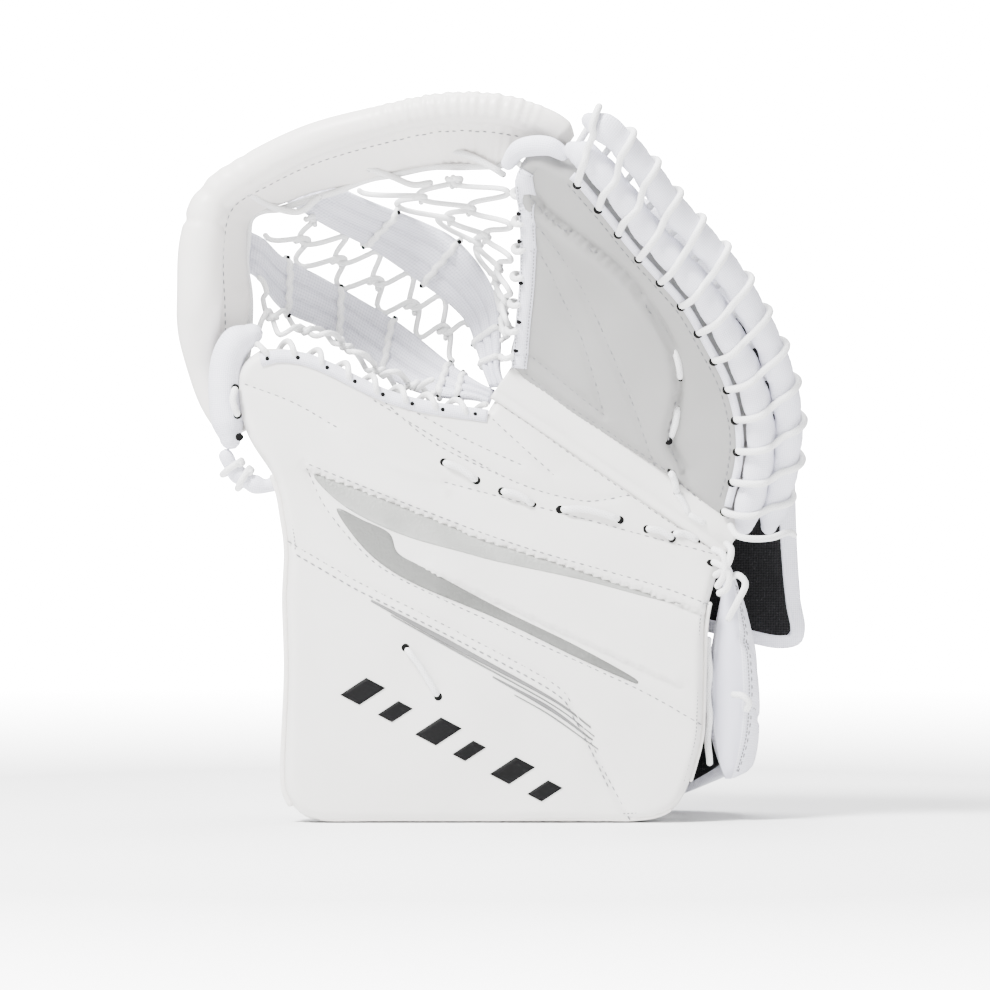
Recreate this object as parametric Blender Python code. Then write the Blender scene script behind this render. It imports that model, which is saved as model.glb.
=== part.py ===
# Ice hockey goalie catch glove: palm and cuff side, finger side, laced pocket and padded
# perimeter, hand compartment, wrist guard and straps.  Lengths below are in millimetres and
# become metres, measured from SEAT, when a mesh is made.  +Z is up, the palm faces -Y and
# the thumb is at -X.
import math

import bmesh
import bpy
from mathutils import Vector, geometry

MM = 0.001

# ---- driving dimensions ------------------------------------------------------------------
GAP = 0.4                     # clearance between two pieces that touch
CUFF_HALF_WIDTH = 116.0       # cuff, from its middle to its left edge
CUFF_RIGHT = 113.0            # cuff, from its middle to its right edge
CUFF_HEIGHT = 150.0           # floor to the outer end of the break
HEEL_HEIGHT = 236.5           # floor to the pocket end of the break
BREAK_END_X = 125.4           # outer end of the break, sideways
BREAK_SET_BACK = 12.0         # how far the break lies behind the cuff's face
FACE_THICK = 2.6              # leather face with its backing
FOAM_THICK = 9.0              # foam under the face
BOARD_THICK = 2.5             # plastic stiffener
LINING_THICK = 3.6            # fabric on the back of the stiffener
PIPING_R = 1.6                # piping round the cuff
LACE_R = 2.0                  # round braided lace
NET_CORD = 4.2                # pocket cord
BINDING_R = 6.8               # padded nylon rolls of the laced band
ROLL_R = 12.0                 # perimeter roll at its thickest
WALL_THICK = 6.0              # padded wall behind the roll
STRAP_THICK = 3.0             # webbing straps of the pocket
SLEEVE_DEPTH = 26.0           # room for the fingers, behind the finger plate
PAD_THICK = 18.0              # padding on the back of the hand
GUARD_THICK = 17.0            # padding round the wrist
WRIST_ROOM = 73.0             # cuff's back to the guard's lining
FINGER_WIDTH = 29.0           # one finger channel
THUMB_WIDTH = 38.0            # thumb channel
TILT = 0.364                  # slope of the finger plate at the break
CURL = 0.002255               # how fast that slope grows, per millimetre

# ---- frames worked out from them ---------------------------------------------------------
HEEL = Vector((0.0, BREAK_SET_BACK, HEEL_HEIGHT))
BREAK_END = Vector((BREAK_END_X, BREAK_SET_BACK, CUFF_HEIGHT + 0.7))
ALONG = (HEEL - BREAK_END).normalized()          # along the break, towards the pocket
ACROSS = Vector((ALONG.z, 0.0, -ALONG.x))        # over the break, towards the fingertips
STACK = [FACE_THICK, FOAM_THICK, BOARD_THICK, LINING_THICK]
LEVELS = [sum(STACK[:i]) + i * 0.3 for i in range(5)]
PLATE_THICK = LEVELS[4] - 0.3
SLEEVE_FRONT = PLATE_THICK + 0.9
SLEEVE_BACK = SLEEVE_FRONT + SLEEVE_DEPTH
GUARD_Y = PLATE_THICK + WRIST_ROOM + 2.8 + GUARD_THICK / 2
HINGE_X = CUFF_RIGHT + 0.5 + LACE_R
HINGE_Y = PLATE_THICK / 2 + 2.0
SEAT = Vector((0.0, (LEVELS[3] + PLATE_THICK) / 2, 0.0))     # the lining's lower edge: the origin

for old in list(bpy.data.objects):
    bpy.data.objects.remove(old, do_unlink=True)


def glove_point(u, v, y):
    """A point u along the break from the heel, v over it, at depth y."""
    p = HEEL + ALONG * u + ACROSS * v
    return Vector((p.x, y, p.z))


def over_break(x, z):
    return (Vector((x, 0, z)) - Vector((HEEL.x, 0, HEEL.z))).dot(ACROSS)


def folded(table):
    """A surface made of flat strips along the break: depth at each (v, y) of a table."""
    def depth(x, z):
        v = over_break(x, z)
        k = 0
        while k < len(table) - 2 and v > table[k + 1][0]:
            k += 1
        (v0, y0), (v1, y1) = table[k], table[k + 1]
        return y0 + (y1 - y0) * (v - v0) / (v1 - v0)
    depth.creases = [v for v, _ in table[1:-1]]
    return depth


PALM_FOLDS = (-60.0, -25.0)                      # where the palm bends towards the break
FINGER_FOLDS = (35.0, 70.0, 105.0)               # where the finger plate bends
palm_depth = folded([(-200, 0), (PALM_FOLDS[0], 0), (PALM_FOLDS[1], BREAK_SET_BACK / 3),
                     (0, BREAK_SET_BACK)])
finger_depth = folded([(v, BREAK_SET_BACK - TILT * v - CURL * v * v)
                       for v in (0.0, *FINGER_FOLDS, 145.0)])
BACK_START = BREAK_SET_BACK + SLEEVE_BACK - 0.3
back_depth = folded([(-60, BACK_START + 10), (0, BACK_START)]
                    + [(v, BACK_START - 0.2 * v - 0.0025 * v * v) for v in (*FINGER_FOLDS, 145.0)])


def lift(surface, x, z, offset):
    """The point offset behind a surface y = surface(x, z), along its normal."""
    e = 0.5
    slope_x = (surface(x + e, z) - surface(x - e, z)) / (2 * e)
    slope_z = (surface(x, z + e) - surface(x, z - e)) / (2 * e)
    normal = Vector((-slope_x, 1.0, -slope_z)).normalized()
    return Vector((x, surface(x, z), z)) + normal * offset


# ---- lines -------------------------------------------------------------------------------
def catmull(points, closed, parts=10):
    pts = [Vector(p) for p in points]
    n = len(pts)
    out = []
    for i in range(n if closed else n - 1):
        p1, p2 = pts[i], pts[(i + 1) % n]
        p0 = pts[i - 1] if (i or closed) else p1 * 2 - p2
        p3 = pts[(i + 2) % n] if (closed or i + 2 < n) else p2 * 2 - p1
        for k in range(parts):
            t = k / parts
            out.append(0.5 * (2 * p1 + (p2 - p0) * t + (2 * p0 - 5 * p1 + 4 * p2 - p3) * t * t
                              + (3 * p1 - p0 - 3 * p2 + p3) * t ** 3))
    if not closed:
        out.append(pts[-1])
    return out


def spaced(line, count, closed=False):
    """count points at equal distances along a polyline."""
    pts = line + [line[0]] if closed else line
    run = [0.0]
    for a, b in zip(pts, pts[1:]):
        run.append(run[-1] + (b - a).length)
    out, k = [], 0
    steps = count if closed else count - 1
    for i in range(count):
        want = run[-1] * i / steps
        while k < len(run) - 2 and run[k + 1] < want:
            k += 1
        f = (want - run[k]) / max(run[k + 1] - run[k], 1e-9)
        out.append(pts[k].lerp(pts[k + 1], min(1.0, f)))
    return out


def curve(points, count, closed=False):
    return spaced(catmull(points, closed), count, closed)


def flat_outline(points, step):
    """A closed smooth outline through (x, z) points, as 2-D vectors."""
    line = catmull([Vector((p[0], p[1])) for p in points], True)
    length = sum((b - a).length for a, b in zip(line, line[1:] + line[:1]))
    loop = spaced(line, max(12, round(length / step)), True)
    area = sum(a.x * b.y - b.x * a.y for a, b in zip(loop, loop[1:] + loop[:1]))
    return loop if area > 0 else loop[::-1]


def inset(loop, distance):
    n = len(loop)
    out = []
    for i, p in enumerate(loop):
        t = (loop[(i + 1) % n] - loop[i - 1]).normalized()
        out.append(p + Vector((-t.y, t.x)) * distance)
    return out


# ---- solids ------------------------------------------------------------------------------
def material(name, colour, roughness, metallic):
    mat = bpy.data.materials.new(name)
    mat.use_nodes = True
    shader = mat.node_tree.nodes["Principled BSDF"]
    shader.inputs["Base Color"].default_value = (*colour, 1.0)
    shader.inputs["Roughness"].default_value = roughness
    shader.inputs["Metallic"].default_value = metallic
    return mat


LEATHER = ((0.90, 0.89, 0.87), 0.45, 0.0)
NYLON = ((0.86, 0.86, 0.92), 0.6, 0.0)
CORD = ((0.93, 0.93, 0.93), 0.7, 0.0)
FOAM = ((0.80, 0.78, 0.70), 0.9, 0.0)
PLASTIC = ((0.75, 0.76, 0.78), 0.4, 0.0)
LINING = ((0.02, 0.02, 0.02), 0.85, 0.0)
SILVER = ((0.55, 0.56, 0.54), 0.4, 0.3)
HOOK = ((0.06, 0.06, 0.06), 0.8, 0.0)

PIVOTS = {}


def pivot(name, place):
    empty = bpy.data.objects.new(name, None)
    empty.location = (place - SEAT) * MM
    bpy.context.scene.collection.objects.link(empty)
    PIVOTS[name] = (empty, place)


def piece(name, verts, faces, finish, hinge=None, sharp=40.0):
    empty, origin = PIVOTS.get(hinge, (None, SEAT))
    mesh = bpy.data.meshes.new(name)
    mesh.from_pydata([(v - origin) * MM for v in verts], [], faces)
    bm = bmesh.new()
    bm.from_mesh(mesh)
    bmesh.ops.recalc_face_normals(bm, faces=bm.faces)
    if bm.calc_volume(signed=True) < 0:
        bmesh.ops.reverse_faces(bm, faces=bm.faces)
    bm.to_mesh(mesh)
    bm.free()
    mesh.shade_smooth()
    mesh.set_sharp_from_angle(angle=math.radians(sharp))
    mesh.materials.append(material(name, *finish))
    obj = bpy.data.objects.new(name, mesh)
    bpy.context.scene.collection.objects.link(obj)
    if empty:
        obj.parent = empty
    return obj


def plate(loop, surface, front, back, rim=1.0):
    """A sheet between two depths behind a folded surface, with a chamfered rim."""
    loop = crossed(loop, surface.creases)
    n = len(loop)
    inner = inset(loop, 2.0 * rim) if rim else []
    edges = [(i, (i + 1) % n) for i in range(n)]
    edges += [(n + i, n + (i + 1) % n) for i in range(len(inner))]
    for v in surface.creases:
        on_line = sorted((i for i, p in enumerate(loop) if abs(over_break(p.x, p.y) - v) < 1e-3),
                         key=lambda i: loop[i].x)
        edges += list(zip(on_line[::2], on_line[1::2]))
    pts, _, tris, origin, _, _ = geometry.delaunay_2d_cdt(loop + inner, edges, [list(range(n))],
                                                          1, 1e-5)
    count = len(pts)
    ring = {}
    for i, sources in enumerate(origin):
        for k in sources:
            if k < n:
                ring[k] = i
    on_rim = set(ring.values())
    verts = [lift(surface, p.x, p.y, front + (rim if i in on_rim else 0))
             for i, p in enumerate(pts)]
    verts += [lift(surface, p.x, p.y, back - (rim if i in on_rim else 0))
              for i, p in enumerate(pts)]
    faces = [tuple(t) for t in tris] + [tuple(count + k for k in reversed(t)) for t in tris]
    for i in range(n):
        a, b = ring[i], ring[(i + 1) % n]
        faces.append((a, count + a, count + b, b))
    return verts, faces


def crossed(loop, creases):
    """The outline with a point added wherever it crosses a crease."""
    out = []
    for a, b in zip(loop, loop[1:] + loop[:1]):
        out.append(a)
        va, vb = over_break(a.x, a.y), over_break(b.x, b.y)
        cuts = [(v - va) / (vb - va) for v in creases if (va - v) * (vb - v) < 0]
        out += [a.lerp(b, f) for f in sorted(cuts)]
    return out


def rings_to_solid(rings):
    m = len(rings[0])
    verts = [v for ring in rings for v in ring]
    faces = []
    for r in range(len(rings) - 1):
        for k in range(m):
            a, b = r * m + k, r * m + (k + 1) % m
            faces.append((a, b, b + m, a + m))
    last = (len(rings) - 1) * m
    faces.append(tuple(reversed(range(m))))
    faces.append(tuple(range(last, last + m)))
    return verts, faces


def tangents(line):
    n = len(line)
    return [(line[min(i + 1, n - 1)] - line[max(i - 1, 0)]).normalized() for i in range(n)]


def tube(line, radius, sides=8, squash=1.0):
    """A round or oval bar along a line; radius is a number or one value per point."""
    rings = []
    side = None
    for i, (p, t) in enumerate(zip(line, tangents(line))):
        guess = Vector((0, 1, 0)) if side is None else side
        side = (guess - t * guess.dot(t)).normalized()
        other = t.cross(side)
        r = radius[i] if isinstance(radius, list) else radius
        rings.append([p + side * (r * math.cos(2 * math.pi * k / sides))
                      + other * (r * squash * math.sin(2 * math.pi * k / sides))
                      for k in range(sides)])
    return rings_to_solid(rings)


def rail_loft(rail_a, rail_b, section):
    """A section of (share, shift, rise) points carried along two rails."""
    rings = []
    for a, b, t in zip(rail_a, rail_b, tangents(rail_a)):
        up = (b - a).cross(t).normalized()
        across = t.cross(up).normalized()
        rings.append([a + (b - a) * f + across * p + up * q for f, p, q in section])
    return rings_to_solid(rings)


def slab(low, high, start=0.0, stop=0.0):
    """A flat section between two rails, held back start and stop from them."""
    return [(0, start, low), (1, -stop, low), (1, -stop, high), (0, start, high)]


def net_panel(rail_a, rail_b, row_cells, sag):
    """A netted sheet between two rails: brick-laid cells with a hole in each."""
    rows = len(row_cells)

    def spot(s, t):
        k = s * (len(rail_a) - 1)
        i = min(int(k), len(rail_a) - 2)
        a = rail_a[i].lerp(rail_a[i + 1], k - i)
        b = rail_b[i].lerp(rail_b[i + 1], k - i)
        drop = sag * math.sin(math.pi * t) * math.sin(math.pi * min(1.0, max(0.0, s)))
        return a.lerp(b, t) + Vector((0, drop, 0))

    def spot_normal(s, t):
        e = 0.01
        along = spot(min(1, s + e), t) - spot(max(0, s - e), t)
        over = spot(s, min(1, t + e)) - spot(s, max(0, t - e))
        return along.cross(over).normalized()

    cuts = []
    for r, cells in enumerate(row_cells):
        marks = [k / cells for k in range(cells + 1)]
        if r % 2 and cells > 1:
            marks = [0.0] + [(k + 0.5) / cells for k in range(cells)] + [1.0]
        cuts.append(marks)
    verts, keys, faces, used = [], {}, [], {}

    def corner(line, t):
        key = (line, round(t, 4))
        if key not in keys:
            s = line / rows
            p, n = spot(s, t), spot_normal(s, t)
            keys[key] = len(verts)
            verts.append(p - n * NET_CORD / 2)
            verts.append(p + n * NET_CORD / 2)
        return keys[key]

    for r in range(rows):
        below = cuts[r - 1] if r else cuts[r]
        above = cuts[r + 1] if r + 1 < rows else cuts[r]
        for t0, t1 in zip(cuts[r], cuts[r][1:]):
            low = sorted({round(t, 4) for t in cuts[r] + below if t0 - 1e-6 <= t <= t1 + 1e-6})
            high = sorted({round(t, 4) for t in cuts[r] + above if t0 - 1e-6 <= t <= t1 + 1e-6})
            ring = [corner(r, t) for t in low] + [corner(r + 1, t) for t in reversed(high)]
            centre = sum((verts[k] for k in ring), Vector((0, 0, 0))) / len(ring)
            start = len(verts)
            for k in ring:
                for side in (0, 1):
                    p = verts[k + side]
                    c = centre + (verts[k + 1] - verts[k]) * side
                    share = min(0.55, NET_CORD * 0.62 / max((c - p).length, 1e-6))
                    verts.append(p.lerp(c, share))
            m = len(ring)
            for k in range(m):
                a, b = ring[k], ring[(k + 1) % m]
                ia, ib = start + 2 * k, start + 2 * ((k + 1) % m)
                faces.append((a, b, ib, ia))
                faces.append((b + 1, a + 1, ia + 1, ib + 1))
                faces.append((ia, ib, ib + 1, ia + 1))
                used[(a, b)] = used.get((a, b), 0) + 1
    for a, b in list(used):
        if (b, a) not in used:
            faces.append((b, a, a + 1, b + 1))
    return verts, faces


pivot("palm_break", HEEL)
pivot("guard_swing", Vector((HINGE_X, HINGE_Y, 75.0)))
pivot("wrist_strap_peel", Vector((0.0, GUARD_Y + GUARD_THICK / 2 + 3.0, 45.0)))

# ---- palm and cuff side ------------------------------------------------------------------
CUFF = [(-124, 188), (-119, 166), (-CUFF_HALF_WIDTH - 1, 148), (-CUFF_HALF_WIDTH - 2, 122),
        (-CUFF_HALF_WIDTH - 1, 81), (-CUFF_HALF_WIDTH - 3, 30), (-CUFF_HALF_WIDTH - 1, 13),
        (-108, 3), (-96, 0), (-70, 0), (-45, 0), (0, 0), (42, 0), (60, 0), (72, 0), (87, 2), (97, 8),
        (103, 18), (107, 30), (CUFF_RIGHT - 2, 46), (CUFF_RIGHT - 1, 62), (CUFF_RIGHT, 100),
        (CUFF_RIGHT + 2, 118), (CUFF_RIGHT + 8, CUFF_HEIGHT - 12),
        (BREAK_END_X - 1.8, CUFF_HEIGHT + 1), (83, HEEL_HEIGHT - 57.5), (28, HEEL_HEIGHT - 19.8),
        (2, HEEL_HEIGHT - 2), (-6, HEEL_HEIGHT - 9), (-17, HEEL_HEIGHT - 6.5), (-40, 237),
        (-62, 240), (-80, 252), (-94, 262), (-108, 264), (-121, 262), (-134, 259), (-144.4, 245),
        (-140, 215)]


def cuff_layers():
    outline = [Vector((p.x, max(0.0, p.y))) for p in flat_outline(CUFF, 11.0)]
    layers = [("cuff_face", LEATHER, 0, 3.6, 0.9), ("cuff_foam", FOAM, 1, 4.0, 1.2),
              ("cuff_board", PLASTIC, 2, 6.0, 0.4), ("cuff_back_lining", LINING, 3, 0.0, 0.5)]
    for name, finish, level, edge, rim in layers:
        low, high = LEVELS[level], LEVELS[level + 1] - 0.3
        verts, faces = plate(inset(outline, edge), palm_depth, low, high, rim)
        piece(name, verts, faces, finish)
    start = min(range(len(outline)), key=lambda i: (outline[i] - Vector((-124, 188))).length)
    stop = min(range(len(outline)), key=lambda i: (outline[i] - Vector((104, 20))).length)
    ring = inset(outline, PIPING_R + 0.1)
    count = (stop - start) % len(outline)
    path = [ring[(start + k) % len(ring)] for k in range(count)]
    line = [lift(palm_depth, p.x, p.y, PIPING_R) for p in path]
    piece("cuff_edge_piping", *tube(line, PIPING_R, 6), LEATHER)


cuff_layers()


def on_surface(surface, points, offset, count):
    """A smooth line through (x, z) points, carried on a surface at an offset."""
    flat = curve([Vector((x, 0, z)) for x, z in points], count)
    return [lift(surface, p.x, p.z, offset) for p in flat]


def aside(points, distance):
    """(x, z) points moved sideways, to the left of their direction."""
    line = [Vector((x, 0, z)) for x, z in points]
    return [(p.x - t.z * distance, p.z + t.x * distance) for p, t in zip(line, tangents(line))]


def between(line, low, high, count):
    """The stretch of a line whose distance over the break is between two values."""
    kept = []
    for a, b in zip(line, line[1:]):
        va, vb = over_break(a.x, a.z), over_break(b.x, b.z)
        for v in sorted((low, high), reverse=va > vb):
            if (va - v) * (vb - v) < 0:
                kept.append(a.lerp(b, (v - va) / (vb - va)))
        if low <= vb <= high:
            kept.append(b)
    if low <= over_break(line[0].x, line[0].z) <= high:
        kept.insert(0, line[0])
    return spaced(kept, count)


def helix(line, turns, steps, reach, depth, front):
    """A lace wound round a bar: sideways and depth half sizes, depth shifted by front."""
    out = []
    path = spaced(line, turns * steps + 1)
    for i, (p, t) in enumerate(zip(path, tangents(path))):
        angle = 2 * math.pi * i / steps
        side = Vector((t.z, 0, -t.x)).normalized()
        back = t.cross(side)
        back *= 1 if back.y > 0 else -1
        out.append(p + side * (reach * math.cos(angle)) + back * (front + depth * math.sin(angle)))
    return out


INLAY_UPPER = [(-101, 191.5), (-64, 178), (-27, 163), (0, 151.5), (44, 138.5), (80, 126.5),
               (108, 116.5), (80, 123), (44, 133.5), (0, 144.5), (-19, 149), (-51, 158),
               (-77, 168.5), (-94, 180.5)]
INLAY_LOWER = [(-91, 172), (-62, 159), (-54, 148.5), (-41, 139.5), (0, 117.5), (40, 97.5),
               (78, 75), (41, 91), (0, 111), (-45, 132.5), (-66, 144), (-82, 157)]
PALM_LACE = [(-87, 216.7), (-62, 197.5), (-30, 181), (0.5, 181), (18, 175), (33, 171), (65, 165),
             (80, 160), (95, 155), (108, 152.5)]
TOGGLE_LACE = [(-51.7, 95.7), (-43, 82.5), (-34, 69.3)]


def palm_trim():
    for name, points in (("inlay_upper", INLAY_UPPER), ("inlay_lower", INLAY_LOWER)):
        piece(name, *plate(flat_outline(points, 14), palm_depth, -1.5, -0.3, 0), SILVER)
    for name, points, count in (("palm_lace", PALM_LACE, 30), ("cuff_toggle_lace", TOGGLE_LACE, 7)):
        line = on_surface(palm_depth, points, -LACE_R - 0.35, count)
        piece(name, *tube(line, LACE_R, 6), CORD)
    strip = [(u, v) for u in (2, -36, -74, -112, -152) for v in (-2.8, 10.0)]
    low = [lift(palm_depth, *flat_xz(u, v), 0) for u, v in strip[::2]]
    high = [lift(finger_depth, *flat_xz(u, v), 0) for u, v in strip[1::2]]
    section = [(0, 0, 0), (0, 3, -1.6), (1, -3, -1.6), (1, 0, 0), (1, 0, 2.4), (0, 0, 2.4)]
    piece("break_gusset", *rail_loft(low, high, section), LEATHER)


def flat_xz(u, v):
    p = glove_point(u, v, 0)
    return p.x, p.z


THUMB_EDGE = [(-137.5, 269), (-146.8, 263), (-151.6, 250), (-151.8, 230), (-149.2, 212)]
THUMB_TAIL = [(-151.5, 201.5), (-147, 193.5), (-139, 187.5), (-131, 185), (-123.5, 186.5)]


def thumb_pieces():
    line = on_surface(palm_depth, THUMB_EDGE, PLATE_THICK / 2, 12)
    piece("thumb_binding", *tube(line, 10.4, 10, 0.9), NYLON)
    tail = on_surface(palm_depth, THUMB_TAIL, 9.6, 9)
    piece("thumb_binding_tail", *tube(tail, 5.0, 8), NYLON)
    reach = 5.0 + LACE_R + 0.6
    wrap = helix(tail[1:6], 3, 8, reach, reach, 0.0)
    piece("thumb_tie_lace", *tube(wrap, LACE_R, 6), CORD)


# ---- perimeter ---------------------------------------------------------------------------
ROLL = [(-147, 27.6, 214), (-158, 30, 232), (-164, 27, 252), (-167, 18, 272), (-166, 8, 292),
        (-164.5, 4, 320), (-157, 4, 344), (-132, -2, 361), (-104, -12, 374), (-70, -22, 383),
        (-33, -34, 390), (0, -40, 389), (25, -40, 381), (38, -38.4, 371.8)]
ROLL_SHARE = [0.67, 0.76, 0.88, 1.0, 1.04, 1.04, 0.92, 0.84, 0.78, 0.72, 0.7, 0.7, 0.7, 0.66]
INNER = [(-141, 38, 274), (-142, 43, 294), (-143, 45, 320), (-141, 44, 336), (-124, 38, 340),
         (-103, 31, 346), (-68, 13, 357), (-32, -4, 362), (-4, -22, 361)]
CORNER_HALF = 15.0            # the soft corner of the perimeter, either side of the break


def perimeter():
    roll = catmull(ROLL, False)
    inner = catmull(INNER, False)
    share = catmull([(s, 0, 0) for s in ROLL_SHARE], False)

    def radii(line):
        near = [min(range(len(roll)), key=lambda i: (roll[i] - p).length) for p in line]
        return [ROLL_R * share[i].x for i in near]

    for side, low, high, hinge, count in (("thumb", -200, -CORNER_HALF, None, 16),
                                          ("finger", CORNER_HALF, 200, "palm_break", 20)):
        line = between(roll, low, high, count)
        piece("perimeter_roll_" + side, *tube(line, radii(line), 10), LEATHER, hinge)
        end = Vector((-166, 10, 284) if side == "thumb" else (-4, -40, 389))
        cut = min(range(len(line)), key=lambda i: (line[i] - end).length)
        outer = spaced(line[cut:] if side == "thumb" else line[:cut + 1], 12)
        edge = between(inner, low, high, 12)
        rings = [(0, max(radii(outer)) + GAP, -WALL_THICK / 2), (1, 0, -WALL_THICK / 2),
                 (1, 0, WALL_THICK / 2), (0, max(radii(outer)) + GAP, WALL_THICK / 2)]
        piece("perimeter_wall_" + side, *rail_loft(outer, edge, rings), LEATHER, hinge)
        rim = [p + (p - q).normalized() * (LACE_R + GAP) for p, q in zip(edge, outer)]
        piece("perimeter_lace_" + side, *tube(rim, LACE_R, 6), CORD, hinge)
    reach = CORNER_HALF - 4 * GAP
    outer, edge = between(roll, -reach, reach, 7), between(inner, -reach, reach, 7)
    r = ROLL_R * 0.92
    arc = [math.radians(a) for a in range(25, 360, 31)]
    section = [(0, r * math.cos(a), r * math.sin(a)) for a in arc]
    section += [(1, 0, -WALL_THICK / 2), (1, 0, WALL_THICK / 2)]
    piece("perimeter_corner", *rail_loft(outer, edge, section), LEATHER)


# ---- pocket ------------------------------------------------------------------------------
LOWER_STRAP_TOP = [(-134, 47, 325), (-122, 58, 314), (-102, 66, 304), (-81, 70, 292), (-55, 68, 276),
                   (-28, 50, 254), (-12, 31, 243)]
LOWER_STRAP_LOW = [(-137, 47, 302), (-122, 57, 284), (-96, 66, 272), (-74, 64, 255), (-53, 50, 240.5),
                   (-34, 35, 235), (-15, 25, 233)]
UPPER_STRAP_LOW = [(-108, 38, 337), (-94, 46, 329), (-73, 58, 319), (-49, 66, 303), (-30, 66, 289),
                   (-18, 58, 276), (-13, 44, 261), (-9, 28, 248)]
UPPER_STRAP_TOP = [(-84, 26, 349), (-67, 40, 342), (-42, 54, 333), (-25, 56, 324), (-11, 52, 308),
                   (-2, 42, 289), (0, 33, 268), (0, 25, 251)]
THUMB_NET_RIM = [(-135, 34, 274), (-121, 19, 270), (-94, 17.5, 268.5), (-76, 17.5, 257), (-57, 19, 247),
                 (-38, 22, 243)]
THUMB_NET_STRAP = [(-135, 46, 300), (-120, 56, 281), (-96, 65, 269), (-75, 63, 252), (-54, 46.5, 238),
                   (-39, 33, 236.5)]
MIDDLE_NET_LOW = [(-26, 52, 257.2), (-54, 69.5, 277.6), (-80, 71, 294), (-101, 67, 305.4),
                  (-120, 59, 316), (-130, 50, 326.5)]
MIDDLE_NET_TOP = [(-18.6, 60, 274.4), (-31.5, 67.5, 288.5), (-49.6, 67.5, 302.2), (-73.7, 59.5, 317.8),
                  (-94, 47.5, 327), (-107, 41, 334)]
FINGER_NET_STRAP = [(2.5, 33, 271), (-0.5, 42, 292), (-9, 52, 311), (-23, 56, 327.5), (-41, 54, 336.5),
                    (-65, 40.5, 345.5), (-77, 32, 350)]
FINGER_NET_EDGE = [(3.2, 14, 268), (4.6, 1, 288), (5, -10, 310), (4.2, -23, 334), (1.5, -32, 354)]


def pocket():
    for name, low, top, hinge in (
            ("pocket_strap_lower", LOWER_STRAP_LOW, LOWER_STRAP_TOP, None),
            ("pocket_strap_upper", UPPER_STRAP_LOW, UPPER_STRAP_TOP, "palm_break")):
        half = STRAP_THICK / 2
        piece(name, *rail_loft(curve(low, 14), curve(top, 14), slab(-half, half, 0.2, 0.2)),
              NYLON, hinge)
    nets = (("net_thumb", THUMB_NET_RIM, THUMB_NET_STRAP, [2, 2, 2, 2, 2, 2], 0.0, None),
            ("net_middle", MIDDLE_NET_LOW, MIDDLE_NET_TOP, [1, 1, 2, 2, 2, 1], 3.0, None),
            ("net_finger", FINGER_NET_STRAP, FINGER_NET_EDGE, [1, 1, 2, 3, 3, 3], 6.0,
             "palm_break"))
    for name, rail_a, rail_b, cells, sag, hinge in nets:
        body = net_panel(curve(rail_a, 40), curve(rail_b, 40), cells, sag)
        piece(name, *body, CORD, hinge, 30)
    rim = [(-129, 262), (-121, 264), (-107, 265.8), (-93, 263.6), (-79, 253.4), (-61, 242),
           (-40, 239), (-18, 232.4), (-8, 229.6)]
    line = on_surface(palm_depth, rim, PLATE_THICK / 2 + 3.5, 22)
    piece("pocket_lace_thumb", *tube(line, LACE_R, 6), CORD)
    edge = [(2.6, 253), (5.9, 271), (8.1, 295), (8.7, 319), (7.9, 338), (6.3, 354)]
    line = on_surface(finger_depth, edge, PLATE_THICK / 2, 16)
    piece("pocket_lace_finger", *tube(line, LACE_R, 6), CORD, "palm_break")


# ---- finger side -------------------------------------------------------------------------
FINGER_EDGE = [(36, 359), (45, 354), (61, 336), (75, 318), (90, 302), (105, 285), (117, 266),
               (128, 246), (135, 225), (137, 207), (135.5, 192), (132, 178), (129, 164)]
SLIT = 2 * LACE_R + 0.5       # room for the lace between the plate and its band
POCKET_EDGE = [(28, 230.5), (6, 250.5), (8, 271), (10.4, 295), (11, 319), (10, 340), (9, 354),
               (14, 361), (23, 361.5), (31, 357)]
BAND_STEP = 12.8              # sideways from the front roll to the back one
BAND_DROP = 7.0               # and how far it lies behind


def finger_plate():
    inner_edge = aside(FINGER_EDGE[1:], -SLIT)
    outline = flat_outline(POCKET_EDGE + inner_edge + [(95, 187), (83, 195.5)], 11)
    layers = [("finger_face", LEATHER, 0, 0.0, 0.9), ("finger_foam", FOAM, 1, 1.0, 1.2),
              ("finger_board", PLASTIC, 2, 2.5, 0.4), ("finger_back_cover", LINING, 3, 0.0, 0.5)]
    for name, finish, level, edge, rim in layers:
        low, high = LEVELS[level], LEVELS[level + 1] - 0.3
        body = plate(inset(outline, edge), finger_depth, low, high, rim)
        piece(name, *body, finish, "palm_break")
    front = on_surface(finger_depth, aside(FINGER_EDGE, BINDING_R + 0.4), 1.0, 26)
    back = on_surface(finger_depth, aside(FINGER_EDGE, BINDING_R + 0.4 + BAND_STEP),
                      1.0 + BAND_DROP, 26)
    piece("finger_binding_front", *tube(front, BINDING_R, 8), NYLON, "palm_break")
    piece("finger_binding_back", *tube(back, BINDING_R, 8), NYLON, "palm_break")
    top = on_surface(finger_depth, [(3, 357.4), (8, 363.6), (15.5, 365.6), (25, 365), (32, 361.2)],
                     5.0, 8)
    piece("finger_top_roll", *tube(top, 5.0, 8), NYLON, "palm_break")
    piece("finger_edge_lace", *tube(band_lace(front, back, 13), LACE_R, 6), CORD, "palm_break")


def band_lace(front, back, turns):
    """A lace wound round both rolls of the band, through the slit beside the plate."""
    steps = 10
    count = turns * steps + 1
    fronts, backs = spaced(front, count), spaced(back, count)
    reach = BINDING_R + LACE_R + 0.75
    out = []
    for i, (a, b, t) in enumerate(zip(fronts, backs, tangents(fronts))):
        far = (b - a)
        far = (far - t * far.dot(t)).normalized()
        rise = t.cross(far)
        k = i % steps
        centre = a if k < 5 else b
        angle = math.radians(100 + 40 * k if k < 5 else -80 + 40 * (k - 5))
        out.append(centre + far * (reach * math.cos(angle)) + rise * (reach * math.sin(angle)))
    return out


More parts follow.
